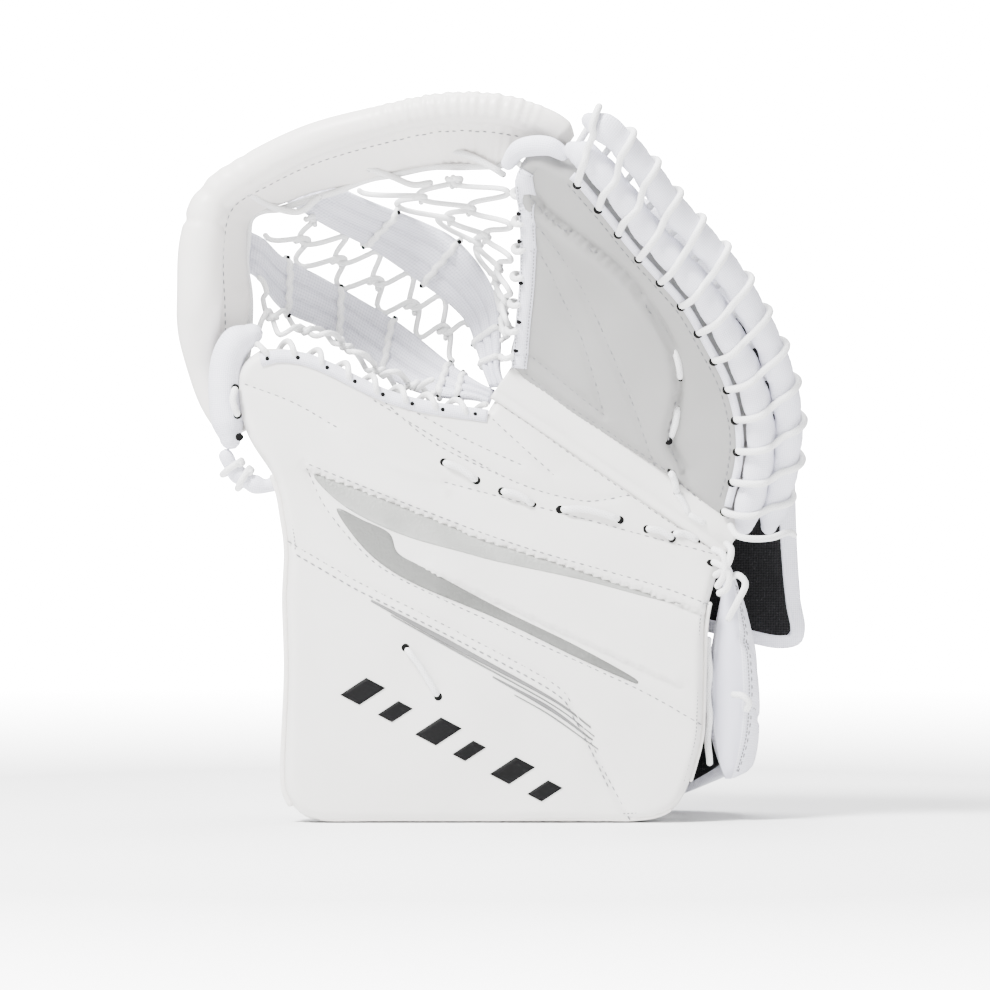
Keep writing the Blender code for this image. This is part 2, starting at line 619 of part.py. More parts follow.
# ---- hand compartment --------------------------------------------------------------------
BACKHAND = [(113, 308), (132, 287), (148, 267), (157, 246), (161, 224), (163, 192), (166, 150),
            (169, 121), (172, 104), (169, 95), (158, 92.5), (143, 95), (120, 101), (90, 107),
            (60, 116), (38, 133), (26, 163), (21, 200), (19, 240), (20, 290), (27, 322), (48, 340),
            (75, 338), (97, 324)]
SLEEVE_LEFT = 10.0            # inner side of the index finger's channel


def finger_room(x, share):
    low = HEEL.z + (18.0 - (x - HEEL.x) * ACROSS.x) / ACROSS.z
    high = HEEL.z + 73.0 - 0.0075 * max(0.0, x - 30.0) ** 2
    return low + (high - low) * share


def hand_compartment():
    right = SLEEVE_LEFT + 4 * FINGER_WIDTH
    section = [(SLEEVE_LEFT, SLEEVE_FRONT), (SLEEVE_LEFT, SLEEVE_BACK)]
    section += [(SLEEVE_LEFT + k * FINGER_WIDTH, SLEEVE_BACK) for k in (1, 2, 3)]
    section += [(right, SLEEVE_BACK), (right, SLEEVE_FRONT), (right - 2, SLEEVE_FRONT)]
    section += [(right - 2, SLEEVE_BACK - 2.2)]
    section += [(SLEEVE_LEFT + k * FINGER_WIDTH, SLEEVE_BACK - 2.2) for k in (3, 2, 1)]
    section += [(SLEEVE_LEFT + 2, SLEEVE_BACK - 2.2), (SLEEVE_LEFT + 2, SLEEVE_FRONT)]

    def sweep(points):
        return rings_to_solid([[lift(finger_depth, x, finger_room(x, k / 9), off)
                                for x, off in points] for k in range(10)])

    piece("finger_sleeve", *sweep(section), LINING, "palm_break")
    for k in (1, 2, 3):
        x = SLEEVE_LEFT + k * FINGER_WIDTH
        front, back = SLEEVE_FRONT, SLEEVE_BACK - 2.8
        wall = [(x - 0.8, front), (x - 0.8, back), (x + 0.8, back), (x + 0.8, front)]
        piece("finger_divider_%d" % k, *sweep(wall), LINING, "palm_break")
    outline = flat_outline(BACKHAND, 12)
    piece("backhand_lining", *plate(inset(outline, 1.5), back_depth, 0, 2.4, 0.4), LINING,
          "palm_break")
    body = plate(outline, back_depth, 2.7, PAD_THICK, 2.5)
    piece("backhand_pad", *body, NYLON, "palm_break")
    thumb_room()


def thumb_room():
    base, tip = Vector((-24, 0, 122)), Vector((-110, 0, 212))
    way = (tip - base).normalized()
    side = Vector((way.z, 0, -way.x))
    half, near, deep = THUMB_WIDTH / 2, PLATE_THICK + GAP, PLATE_THICK + SLEEVE_DEPTH
    section = [(-half - 2, near), (-half - 2, deep), (half + 2, deep), (half + 2, near),
               (half, near), (half, deep - 2.2), (-half, deep - 2.2), (-half, near)]
    rings = [[base.lerp(tip, k / 4) + side * s + Vector((0, y, 0)) for s, y in section]
             for k in range(5)]
    piece("thumb_sleeve", *rings_to_solid(rings), LINING)
    corners = []
    for along, s in ((-4, -16), (40, -half - 4), (100, -half - 2), (124, -half + 8), (130, 0),
                     (124, half - 8), (100, half + 2), (40, half + 4), (-4, 16)):
        p = base + way * along + side * s
        corners.append((p.x, p.z))
    flat = folded([(-400, 0), (400, 0)])
    body = plate(flat_outline(corners, 14), flat, deep + GAP, deep + 14, 2.5)
    piece("thumb_back_pad", *body, NYLON)


# ---- wrist -------------------------------------------------------------------------------
GUARD = [(HINGE_X + 10.8, 10, 23, 136), (131, 26, 24, 124), (135.5, 46, 25, 101),
         (131, 78, 22, 82), (107, GUARD_Y - 4, 10, 83), (80, GUARD_Y, 0, 84),
         (40, GUARD_Y, 0, 84), (0, GUARD_Y, 0, 83)]        # x, y, bottom and top edge
STRAP_LOW = 28.0              # wrist strap's lower edge
STRAP_HIGH = 62.0             # and its upper one


def wrist():
    path = curve(GUARD, 22)
    low = [Vector((p.x, p.y, max(0.0, p.z))) for p in path]
    top = [Vector((p.x, p.y, p.w)) for p in path]
    half = GUARD_THICK / 2
    section = [(0, 0, -5), (0, 4, -half), (1, -4, -half), (1, 0, -5), (1, 0, 5), (1, -4, half),
               (0, 4, half), (0, 0, 5)]
    piece("wrist_guard_pad", *rail_loft(low, top, section), NYLON, "guard_swing")
    piece("wrist_guard_lining", *rail_loft(low[3:], top[3:], slab(half + 0.4, half + 2.8, 4, 4)),
          LINING, "guard_swing")
    edge = [p + Vector((0, 0, 2.0 + 3 * GAP)) for p in top]
    piece("wrist_guard_binding", *tube(edge, 2.0, 6), NYLON, "guard_swing")
    post = [Vector((HINGE_X, HINGE_Y, z)) for z in (32, 55, 78, 100)]
    piece("guard_hinge_lace", *tube(post, LACE_R, 8), CORD)
    outside = GUARD_Y + half
    anchor = [Vector((x, outside + GAP + 1.2, 0)) for x in (52, 28, 4)]
    piece("wrist_strap_anchor", *strap(anchor, STRAP_LOW, STRAP_HIGH, 2.4), NYLON, "guard_swing")
    tab = PLATE_THICK + 0.3 + 1.5 + 0.3 + 1.4 + 0.3 + 1.2
    path = [(1, outside + 2.0, 0), (-24, outside - 3, 0), (-50, outside - 24, 0), (-64, 56, 0),
            (-70, 36, 0), (-79, tab + 1.4, 0), (-89, tab, 0), (-97, tab, 0), (-106, tab, 0)]
    piece("wrist_strap", *strap(curve(path, 18), STRAP_LOW, STRAP_HIGH, 2.4), NYLON,
          "wrist_strap_peel")
    hook = [Vector((x, tab - 1.2 - 0.3 - 0.7, 0)) for x in (-90, -105)]
    piece("wrist_strap_hook", *strap(hook, STRAP_LOW + 2, STRAP_HIGH - 2, 1.4), HOOK,
          "wrist_strap_peel")
    patch = [Vector((x, PLATE_THICK + 0.3 + 0.75, 0)) for x in (-76, -111)]
    piece("wrist_loop_patch", *strap(patch, STRAP_LOW, STRAP_HIGH, 1.5), HOOK)


def strap(line, low, high, thick):
    rails = [[Vector((p.x, p.y, z)) for p in line] for z in (low, high)]
    return rail_loft(rails[0], rails[1], slab(-thick / 2, thick / 2))


def hand_strap():
    """The adjusting strap across the back of the hand, on the flat strip below the break."""
    root, end, half = -166.0, -66.0, 14.0

    def bar(u0, u1, low, high, wide):
        rails = [[lift(back_depth, *flat_xz(u, v), 0) for u in (u0, (u0 + u1) / 2, u1)]
                 for v in (-21 - wide, -21 + wide)]
        return rail_loft(rails[0], rails[1], slab(-high, -low))

    top = PAD_THICK + 0.3
    piece("hand_strap_anchor", *bar(root, root + 16, top, top + 3.3, half), NYLON, "palm_break")
    piece("hand_loop_patch", *bar(end - 44, end - 4, top, top + 1.4, half), HOOK, "palm_break")
    piece("hand_strap_hook", *bar(end - 40, end - 2, top + 1.7, top + 3.3, half - 2), HOOK,
          "hand_strap_peel")
    piece("hand_strap", *bar(root + 2, end, top + 3.6, top + 6.0, half), NYLON,
          "hand_strap_peel")


HAND_ROOT = lift(back_depth, *flat_xz(-164.0, -21.0), PAD_THICK + 4.2)
pivot("hand_strap_peel", HAND_ROOT)
palm_trim()
thumb_pieces()
perimeter()
pocket()
finger_plate()
hand_compartment()
wrist()
hand_strap()
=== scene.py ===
import math

import bmesh
import bpy
import numpy as np
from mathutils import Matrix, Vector, geometry


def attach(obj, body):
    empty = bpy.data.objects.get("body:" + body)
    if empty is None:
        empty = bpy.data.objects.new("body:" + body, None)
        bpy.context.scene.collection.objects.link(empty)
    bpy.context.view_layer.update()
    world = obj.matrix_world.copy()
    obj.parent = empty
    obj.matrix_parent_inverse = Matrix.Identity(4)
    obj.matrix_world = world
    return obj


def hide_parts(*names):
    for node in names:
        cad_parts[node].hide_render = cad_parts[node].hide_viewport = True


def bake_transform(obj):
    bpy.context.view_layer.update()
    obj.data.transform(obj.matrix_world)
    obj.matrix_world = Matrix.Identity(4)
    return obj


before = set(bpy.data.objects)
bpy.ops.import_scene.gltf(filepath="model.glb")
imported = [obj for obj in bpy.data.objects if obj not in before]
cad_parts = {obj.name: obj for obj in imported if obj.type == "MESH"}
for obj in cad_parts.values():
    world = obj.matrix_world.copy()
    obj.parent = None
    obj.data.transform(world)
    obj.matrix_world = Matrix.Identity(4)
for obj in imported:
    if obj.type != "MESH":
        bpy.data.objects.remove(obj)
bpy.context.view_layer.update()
print("frame loaded")

# lengths are in millimetres from the palm's face and become metres in place()
glove = {"heel": (0.0, 12.0, 236.5), "along": (-0.82531, 0.56468), "across": (0.56468, 0.82531),
         "tilt": 0.364, "curl": 0.002255, "thick": 18.6, "seat": 16.8}


def place(points):
    return (np.asarray(points, float) - (0.0, glove["seat"], 0.0)) * 0.001


def overBreak(x, z):
    ax, az = glove["across"]
    return x * ax + (z - glove["heel"][2]) * az


def palmDepth(x, z):
    t = np.clip((overBreak(x, z) + 60.0) / 60.0, 0.0, 1.0)
    return 12.0 * t * t


def fingerDepth(x, z):
    v = np.maximum(overBreak(x, z), 0.0)
    return 12.0 - glove["tilt"] * v - glove["curl"] * v * v


def backDepth(x, z):
    v = overBreak(x, z)
    return np.where(v < 0, 57.2 - v / 6.0, 57.2 - 0.2 * v - 0.0025 * v * v)


def flatDepth(x, z):
    return np.zeros_like(np.asarray(x, float))


def lifted(surface, x, z, offset):
    x, z, e = np.asarray(x, float), np.asarray(z, float), 0.5
    sx = (surface(x + e, z) - surface(x - e, z)) / (2 * e)
    sz = (surface(x, z + e) - surface(x, z - e)) / (2 * e)
    n = np.stack([-sx, np.ones_like(x), -sz], -1)
    n = unit(n)
    return np.stack([x, surface(x, z), z], -1) + n * np.asarray(offset, float)[..., None]


def over(surface, flat, offset):
    return lifted(surface, flat[:, 0], flat[:, 1], offset)


def bell(distance, width):
    return np.exp(-(distance / width) ** 2)


def unit(vectors):
    return vectors / np.linalg.norm(vectors, axis=-1, keepdims=True)


# ---- lines
def smooth(points, closed=False, parts=12):
    p = np.asarray(points, float)
    n = len(p)
    if n == 2 and not closed:
        return p[0] + (p[1] - p[0]) * np.linspace(0, 1, parts + 1)[:, None]
    if closed:
        q = np.vstack([p[-1], p, p[0], p[1]])
        spans = n
    else:
        q = np.vstack([2 * p[0] - p[1], p, 2 * p[-1] - p[-2]])
        spans = n - 1
    t = np.linspace(0, 1, parts, endpoint=False)[:, None]
    out = []
    for i in range(spans):
        a, b, c, d = q[i], q[i + 1], q[i + 2], q[i + 3]
        out.append(0.5 * (2 * b + (c - a) * t + (2 * a - 5 * b + 4 * c - d) * t * t
                          + (3 * b - a - 3 * c + d) * t ** 3))
    if not closed:
        out.append(p[-1][None])
    return np.vstack(out)


def even(line, count=None, step=None, closed=False):
    line = np.asarray(line, float)
    if closed:
        line = np.vstack([line, line[:1]])
    run = np.r_[0, np.cumsum(np.linalg.norm(np.diff(line, axis=0), axis=1))]
    if count is None:
        count = max(3, int(round(run[-1] / step)) + (0 if closed else 1))
    marks = np.linspace(0, run[-1], count, endpoint=not closed)
    return np.stack([np.interp(marks, run, line[:, k]) for k in range(line.shape[1])], -1)


def path(points, step=1.5, closed=False):
    return even(smooth(points, closed), step=step, closed=closed)


def tangentsOf(line):
    t = np.gradient(line, axis=0)
    return t / np.maximum(np.linalg.norm(t, axis=1, keepdims=True), 1e-9)


def leftOf(t):
    return np.stack([-t[:, 1], t[:, 0]], -1)


def sideOf(t):      # the same for a line in space, level with the cuff
    return np.stack([-t[:, 2], np.zeros(len(t)), t[:, 0]], -1)


def inset(loop, distance):
    t = np.roll(loop, -1, 0) - np.roll(loop, 1, 0)
    t = unit(t)
    return loop + leftOf(t) * distance


def outlineOf(points, step):
    loop = path(points, step, True)
    area = np.sum(loop[:, 0] * np.roll(loop[:, 1], -1) - np.roll(loop[:, 0], -1) * loop[:, 1])
    return loop if area > 0 else loop[::-1]


def aside(points, distance):
    p = np.asarray(points, float)
    t = tangentsOf(p)
    return p + leftOf(t) * distance


def inside(points, loop):
    x, y = points[:, 0][:, None], points[:, 1][:, None]
    x0, y0 = loop[:, 0], loop[:, 1]
    x1, y1 = np.roll(x0, -1), np.roll(y0, -1)
    hit = ((y0 > y) != (y1 > y)) & (x < (x1 - x0) * (y - y0) / (y1 - y0 + 1e-12) + x0)
    return hit.sum(1) % 2 == 1


def nearest(points, line, closed=False):      # distance to a line, and the side of it
    best = np.full(len(points), 1e9)
    side = np.zeros(len(points))
    ends = np.vstack([line, line[:1]]) if closed else line
    for a, b in zip(ends, ends[1:]):
        d = b - a
        t = np.clip(((points - a) @ d) / max(d @ d, 1e-9), 0, 1)
        gap = points - a - t[:, None] * d
        r = np.hypot(gap[:, 0], gap[:, 1])
        s = np.sign(d[0] * gap[:, 1] - d[1] * gap[:, 0])
        near = r < best
        best = np.where(near, r, best)
        side = np.where(near, s, side)
    return best, side


# ---- shader groups
def shaderGroup(name, inputs, outputs):
    tree = bpy.data.node_groups.new(name, "ShaderNodeTree")
    for label, kind, value in inputs:
        socket = tree.interface.new_socket(label, in_out="INPUT", socket_type=kind)
        if value is not None:
            socket.default_value = value
    for label, kind in outputs:
        tree.interface.new_socket(label, in_out="OUTPUT", socket_type=kind)
    return tree, tree.nodes.new("NodeGroupInput"), tree.nodes.new("NodeGroupOutput")


def wire(source, target):
    source.id_data.links.new(source, target)


def node(tree, kind, **values):
    made = tree.nodes.new(kind)
    for key, value in values.items():
        if key in made.inputs:
            made.inputs[key].default_value = value
        else:
            setattr(made, key, value)
    return made


def math2(tree, operation, a, b=None, clamp=False):
    made = node(tree, "ShaderNodeMath", operation=operation, use_clamp=clamp)
    for k, value in enumerate((a, b)):
        if value is None:
            continue
        if isinstance(value, (int, float)):
            made.inputs[k].default_value = value
        else:
            wire(value, made.inputs[k])
    return made.outputs[0]


floatKind, vectorKind = "NodeSocketFloat", "NodeSocketVector"


def grainGroup():
    tree, start, end = shaderGroup("hideGrain", [("Vector", vectorKind, None), ("Cells", floatKind, 900.0),
                                                 ("Wrinkle", floatKind, 90.0), ("Mix", floatKind, 0.5)],
                                   [("Height", floatKind), ("Tone", floatKind)])
    cells = node(tree, "ShaderNodeTexVoronoi", feature="SMOOTH_F1", Smoothness=0.4, Randomness=0.9)
    wire(start.outputs["Vector"], cells.inputs["Vector"])
    wire(start.outputs["Cells"], cells.inputs["Scale"])
    fold = node(tree, "ShaderNodeTexNoise", Detail=4.0, Roughness=0.6, Distortion=0.6)
    wire(start.outputs["Vector"], fold.inputs["Vector"])
    wire(start.outputs["Wrinkle"], fold.inputs["Scale"])
    share = math2(tree, "MULTIPLY", cells.outputs["Distance"], start.outputs["Mix"])
    wire(math2(tree, "ADD", share, fold.outputs[0]), end.inputs["Height"])
    broad = node(tree, "ShaderNodeTexNoise", Scale=22.0, Detail=3.0)
    wire(start.outputs["Vector"], broad.inputs["Vector"])
    wire(broad.outputs[0], end.inputs["Tone"])
    return tree


def weaveGroup():
    tree, start, end = shaderGroup("clothWeave", [("Vector", vectorKind, None), ("Threads", floatKind, 800.0)],
                                   [("Height", floatKind), ("Tone", floatKind)])
    size = node(tree, "ShaderNodeVectorMath", operation="SCALE")
    wire(start.outputs["Vector"], size.inputs[0])
    wire(start.outputs["Threads"], size.inputs["Scale"])
    split = node(tree, "ShaderNodeSeparateXYZ")
    wire(size.outputs[0], split.inputs[0])
    waves = [math2(tree, "SINE", math2(tree, "MULTIPLY", split.outputs[axis], math.pi)) for axis in (0, 1)]
    over = math2(tree, "MULTIPLY", waves[0], waves[1])
    ridge = math2(tree, "ABSOLUTE", waves[0])
    other = math2(tree, "ABSOLUTE", waves[1])
    both = math2(tree, "MULTIPLY", math2(tree, "ADD", ridge, other), 0.5)
    total = math2(tree, "ADD", math2(tree, "MULTIPLY", over, 0.25), both)
    wire(total, end.inputs["Height"])
    wire(both, end.inputs["Tone"])
    return tree


def braidGroup():
    tree, start, end = shaderGroup("roundBraid", [("Vector", vectorKind, None), ("Strands", floatKind, 8.0),
                                                  ("Pitch", floatKind, 500.0)],
                                   [("Height", floatKind), ("Tone", floatKind)])
    split = node(tree, "ShaderNodeSeparateXYZ")
    wire(start.outputs["Vector"], split.inputs[0])
    around = math2(tree, "MULTIPLY", split.outputs[0], start.outputs["Strands"])
    run = math2(tree, "MULTIPLY", split.outputs[1], start.outputs["Pitch"])
    parts = []
    for operation in ("ADD", "SUBTRACT"):
        line = math2(tree, "MULTIPLY", math2(tree, operation, around, run), math.pi)
        parts.append(math2(tree, "ABSOLUTE", math2(tree, "SINE", line)))
    high = math2(tree, "MAXIMUM", parts[0], parts[1])
    wire(high, end.inputs["Height"])
    wire(high, end.inputs["Tone"])
    return tree


groups = {"grain": grainGroup(), "weave": weaveGroup(), "braid": braidGroup()}


def newFinish(name, look):
    mat = bpy.data.materials.new(name)
    mat.use_nodes = True
    tree = mat.node_tree
    shader = tree.nodes["Principled BSDF"]
    for key, value in look["shader"].items():
        shader.inputs[key].default_value = value
    shader.inputs["Base Color"].default_value = (*look["light"], 1.0)
    coords = node(tree, "ShaderNodeTexCoord")
    body = node(tree, "ShaderNodeGroup", node_tree=groups[look["group"]])
    for key, value in look["sizes"].items():
        body.inputs[key].default_value = value
    wire(coords.outputs[look["coords"]], body.inputs["Vector"])
    ramp = node(tree, "ShaderNodeValToRGB")
    ramp.color_ramp.elements[0].position, ramp.color_ramp.elements[1].position = look["toneRange"]
    ramp.color_ramp.elements[0].color = (*look["dark"], 1.0)
    ramp.color_ramp.elements[1].color = (*look["light"], 1.0)
    wire(body.outputs["Tone"], ramp.inputs["Fac"])
    wire(ramp.outputs["Color"], shader.inputs["Base Color"])
    rough = math2(tree, "ADD", math2(tree, "MULTIPLY", body.outputs["Tone"], -look["roughSwing"]),
                  look["shader"]["Roughness"] + look["roughSwing"] / 2)
    wire(rough, shader.inputs["Roughness"])
    bump = node(tree, "ShaderNodeBump", Strength=look["bump"], Distance=look["distance"])
    wire(body.outputs["Height"], bump.inputs["Height"])
    wire(bump.outputs["Normal"], shader.inputs["Normal"])
    return mat


def look(group, coords, light, dark, sizes, bump, distance, rough, swing=0.08, span=(0.25, 0.75), **more):
    return {"group": group, "coords": coords, "light": light, "dark": dark, "sizes": sizes, "bump": bump,
            "distance": distance, "toneRange": span, "roughSwing": swing,
            "shader": {"Roughness": rough, **more}}


looks = {
    "whiteLeather": look("grain", "Object", (0.76, 0.75, 0.73), (0.70, 0.685, 0.665),
                         {"Cells": 1100.0, "Wrinkle": 120.0, "Mix": 0.25}, 0.10, 0.0006, 0.42, 0.1),
    # the finger plate is the same white leather as the palm, painted dark grey: painted shade for its face turned
    # down and away from the light
    "fingerLeatherPaintedShade": look("grain", "Object", (0.27, 0.268, 0.263), (0.24, 0.237, 0.232),
                          {"Cells": 1100.0, "Wrinkle": 110.0, "Mix": 0.25}, 0.12, 0.0006, 0.46, 0.1),
    "rollLeather": look("grain", "Object", (0.80, 0.775, 0.75), (0.72, 0.695, 0.67),
                        {"Cells": 900.0, "Wrinkle": 60.0, "Mix": 0.2}, 0.22, 0.001, 0.4, 0.12),
    "nylon": look("weave", "UV", (0.76, 0.76, 0.83), (0.58, 0.58, 0.67),
                  {"Threads": 900.0}, 0.5, 0.0004, 0.62, 0.05, (0.2, 0.8)),
    "webbing": look("weave", "UV", (0.66, 0.66, 0.73), (0.48, 0.48, 0.56),
                    {"Threads": 620.0}, 0.6, 0.0005, 0.65, 0.05, (0.2, 0.8)),
    "cord": look("braid", "UV", (0.80, 0.80, 0.80), (0.55, 0.55, 0.57),
                 {"Strands": 640.0, "Pitch": 420.0}, 0.45, 0.0004, 0.55, 0.05, (0.0, 0.9)),
    "paleSilver": look("grain", "Object", (0.36, 0.365, 0.35), (0.24, 0.245, 0.23),
                       {"Cells": 620.0, "Wrinkle": 150.0, "Mix": 1.2}, 0.4, 0.0005, 0.45, 0.15,
                       (0.3, 0.62), Metallic=0.2),
    "darkSilver": look("grain", "Object", (0.17, 0.173, 0.165), (0.10, 0.103, 0.097),
                       {"Cells": 620.0, "Wrinkle": 150.0, "Mix": 1.2}, 0.4, 0.0005, 0.45, 0.15,
                       (0.3, 0.62), Metallic=0.2),
    "blackMesh": look("weave", "UV", (0.010, 0.010, 0.011), (0.002, 0.002, 0.0025),
                      {"Threads": 700.0}, 0.6, 0.0005, 0.9, 0.1, (0.2, 0.8), **{"Specular IOR Level": 0.15}),
    "blackPrint": look("grain", "Object", (0.004, 0.004, 0.0045), (0.002, 0.002, 0.002),
                       {"Cells": 1100.0, "Wrinkle": 120.0, "Mix": 0.25}, 0.1, 0.0005, 0.6, 0.1,
                       **{"Specular IOR Level": 0.12}),
    "greyPrint": look("grain", "Object", (0.20, 0.20, 0.20), (0.10, 0.10, 0.10),
                      {"Cells": 900.0, "Wrinkle": 200.0, "Mix": 0.5}, 0.2, 0.0005, 0.45, 0.1),
    "thread": look("braid", "Object", (0.19, 0.19, 0.20), (0.11, 0.11, 0.12),
                   {"Strands": 900.0, "Pitch": 900.0}, 0.3, 0.0003, 0.6, 0.05),
    "hookTape": look("grain", "Object", (0.03, 0.03, 0.03), (0.012, 0.012, 0.012),
                     {"Cells": 700.0, "Wrinkle": 400.0, "Mix": 1.5}, 1.0, 0.001, 0.9, 0.1),
    # near-black discs at the lace holes: painted shade for the shadowed gap inside each hole
    "paintedHoleShade": look("grain", "Object", (0.004, 0.004, 0.004), (0.002, 0.002, 0.002),
                 {"Cells": 500.0, "Wrinkle": 100.0, "Mix": 0.4}, 0.2, 0.0003, 0.8, 0.1,
                 **{"Specular IOR Level": 0.1}),
}
finishes = {name: newFinish(name, facts) for name, facts in looks.items()}
print("materials made")


# ---- meshes
def newPiece(name, verts, faces, material, uvs=None, sharp=None):
    mesh = bpy.data.meshes.new(name)
    mesh.from_pydata(place(verts).tolist(), [], [list(map(int, f)) for f in faces])
    if uvs is not None:
        layer = mesh.uv_layers.new(name="UVMap")
        layer.data.foreach_set("uv", np.asarray(uvs, np.float32).ravel())
    mesh.shade_smooth()
    if sharp:
        mesh.set_sharp_from_angle(angle=math.radians(sharp))
    mesh.materials.append(finishes[material])
    mesh.validate()
    piece = bpy.data.objects.new(name, mesh)
    bpy.context.scene.collection.objects.link(piece)
    return piece


def skin(rings, closedEnds=True):      # quads over rings, with a UV in metres
    rings = np.asarray(rings, float)
    n, m = rings.shape[:2]
    around = np.linalg.norm(np.roll(rings, -1, 1) - rings, axis=2).mean(0)
    u = np.r_[0, np.cumsum(around)] * 0.001
    v = np.r_[0, np.cumsum(np.linalg.norm(np.diff(rings.mean(1), axis=0), axis=1))] * 0.001
    r, k = np.meshgrid(np.arange(n - 1), np.arange(m), indexing="ij")
    a, b = r * m + k, r * m + (k + 1) % m
    faces = np.stack([a, b, b + m, a + m], -1).reshape(-1, 4).tolist()
    uvs = np.stack([np.stack([u[k], v[r]], -1), np.stack([u[k + 1], v[r]], -1),
                    np.stack([u[k + 1], v[r + 1]], -1), np.stack([u[k], v[r + 1]], -1)], 2).reshape(-1, 2)
    uvs = uvs.tolist()
    if closedEnds:
        faces += [list(range(m))[::-1], [(n - 1) * m + k for k in range(m)]]
        uvs += [(0.0, 0.0)] * (2 * m)
    return rings.reshape(-1, 3), faces, uvs


def joined(parts):
    verts, faces, uvs, count = [], [], [], 0
    for v, f, uv in parts:
        verts.append(v)
        faces += [[k + count for k in face] for face in f]
        uvs += list(uv)
        count += len(v)
    return np.vstack(verts), faces, uvs


def framesOf(line, first=(0.0, 1.0, 0.0)):
    t = tangentsOf(line)
    side = np.zeros_like(line)
    now = np.asarray(first, float)
    for i in range(len(line)):
        now = now - t[i] * (now @ t[i])
        now /= max(np.linalg.norm(now), 1e-9)
        side[i] = now
    return side, np.cross(t, side)


def tubeRings(line, radius, sides=10, flat=1.0, first=(0.0, 1.0, 0.0), ripple=None):
    side, other = framesOf(line, first)
    a = np.linspace(0, 2 * np.pi, sides, endpoint=False)
    r = np.broadcast_to(np.asarray(radius, float).reshape(-1, 1), (len(line), sides)).copy()
    if ripple is not None:
        r *= ripple
    return (line[:, None] + side[:, None] * (r * np.cos(a))[..., None]
            + other[:, None] * (r * flat * np.sin(a))[..., None])


def rounded(line, radius, sides=10, **more):      # a tube with rounded ends
    r = np.full(len(line), float(radius)) if np.isscalar(radius) else np.asarray(radius, float).copy()
    t = tangentsOf(line)
    first, last = [], []
    for q in (0.35, 0.75, 0.95):
        first.append((line[0] - t[0] * r[0] * math.sqrt(max(0, 1 - q * q)), r[0] * q))
        last.append((line[-1] + t[-1] * r[-1] * math.sqrt(max(0, 1 - q * q)), r[-1] * q))
    points = np.vstack([[p for p, _ in first], line, [p for p, _ in last[::-1]]])
    radii = np.r_[[q for _, q in first], r, [q for _, q in last[::-1]]]
    return skin(tubeRings(points, radii, sides, **more))


def arcEdge(d, rim):      # how far a rim of that radius drops, this near its edge
    return rim * (1 - np.sqrt(np.clip(1 - (1 - np.clip(d / rim, 0, 1)) ** 2, 0, 1)))


def lace(points, radius=1.9):
    return rounded(path(points, 1.2), radius, 10)


def sheetOver(name, outline, surface, relief, material, spacing=2.2, rim=3.0, front=0.0, back=18.0,
              rimBack=1.5, coarse=7.0, hug=False):
    loop = outlineOf(outline, spacing)
    lo, hi = loop.min(0), loop.max(0)

    def fill(border, gap, keep):
        xs, zs = np.arange(lo[0], hi[0], gap), np.arange(lo[1], hi[1], gap * 0.866)
        gx, gz = np.meshgrid(xs, zs)
        gx = gx + (np.arange(len(zs)) % 2 * gap / 2)[:, None]
        grid = np.stack([gx.ravel(), gz.ravel()], -1)
        grid = grid[inside(grid, border)]
        d, _ = nearest(grid, border, True)
        grid = grid[d > keep]
        pts = np.vstack([border, grid])
        edges = [(i, (i + 1) % len(border)) for i in range(len(border))]
        out = geometry.delaunay_2d_cdt([Vector(p) for p in pts.tolist()], edges, [list(range(len(border)))],
                                       1, 1e-6)
        flat = np.array(out[0])
        ring = {}
        for i, sources in enumerate(out[3]):
            for s in sources:
                if s < len(border):
                    ring[s] = i
        return flat, [list(t) for t in out[2]], [ring[i] for i in range(len(border))]

    flat, tris, ring = fill(loop, spacing, spacing * 0.55)
    d, _ = nearest(flat, loop, True)
    d[ring] = 0.0
    curl = arcEdge(d, rim)
    height = relief(flat) * (1.0 if hug else np.clip(d / rim, 0, 1))
    way = 1 if back > front else -1
    top = over(surface, flat, front + way * (curl - height))
    under, lowTris, lowRing = fill(loop, coarse, coarse * 0.5)
    d2, _ = nearest(under, loop, True)
    d2[lowRing] = 0.0
    below = relief(under) if hug else 0.0
    bottom = over(surface, under, back - below - way * arcEdge(d2, rimBack))
    n = len(flat)
    verts = np.vstack([top, bottom])
    faces = [list(t) for t in tris] + [[n + k for k in t[::-1]] for t in lowTris]
    m = len(loop)
    faces += [[ring[i], n + lowRing[i], n + lowRing[(i + 1) % m], ring[(i + 1) % m]] for i in range(m)]
    both = np.vstack([flat, under]) * 0.001
    uvs = [both[k] for f in faces for k in f]
    piece = newPiece(name, verts, faces, material, uvs)
    outward(piece)
    return piece


def outward(piece):
    bm = bmesh.new()
    bm.from_mesh(piece.data)
    bmesh.ops.recalc_face_normals(bm, faces=bm.faces)
    if bm.calc_volume(signed=True) < 0:
        bmesh.ops.reverse_faces(bm, faces=bm.faces)
    bm.to_mesh(piece.data)
    bm.free()


def pieceOf(name, parts, material):
    if isinstance(parts, tuple):
        parts = [parts]
    piece = newPiece(name, *joined(parts)[:2], material, joined(parts)[2])
    outward(piece)
    return piece


# hide the parts a piece stands for, and put it on the body it rides on, where it isn't blended
def keep(piece, body, slot=None, *nodes, fill=None):
    if nodes:
        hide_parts(*nodes)
    if body:
        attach(piece, body)
    return piece
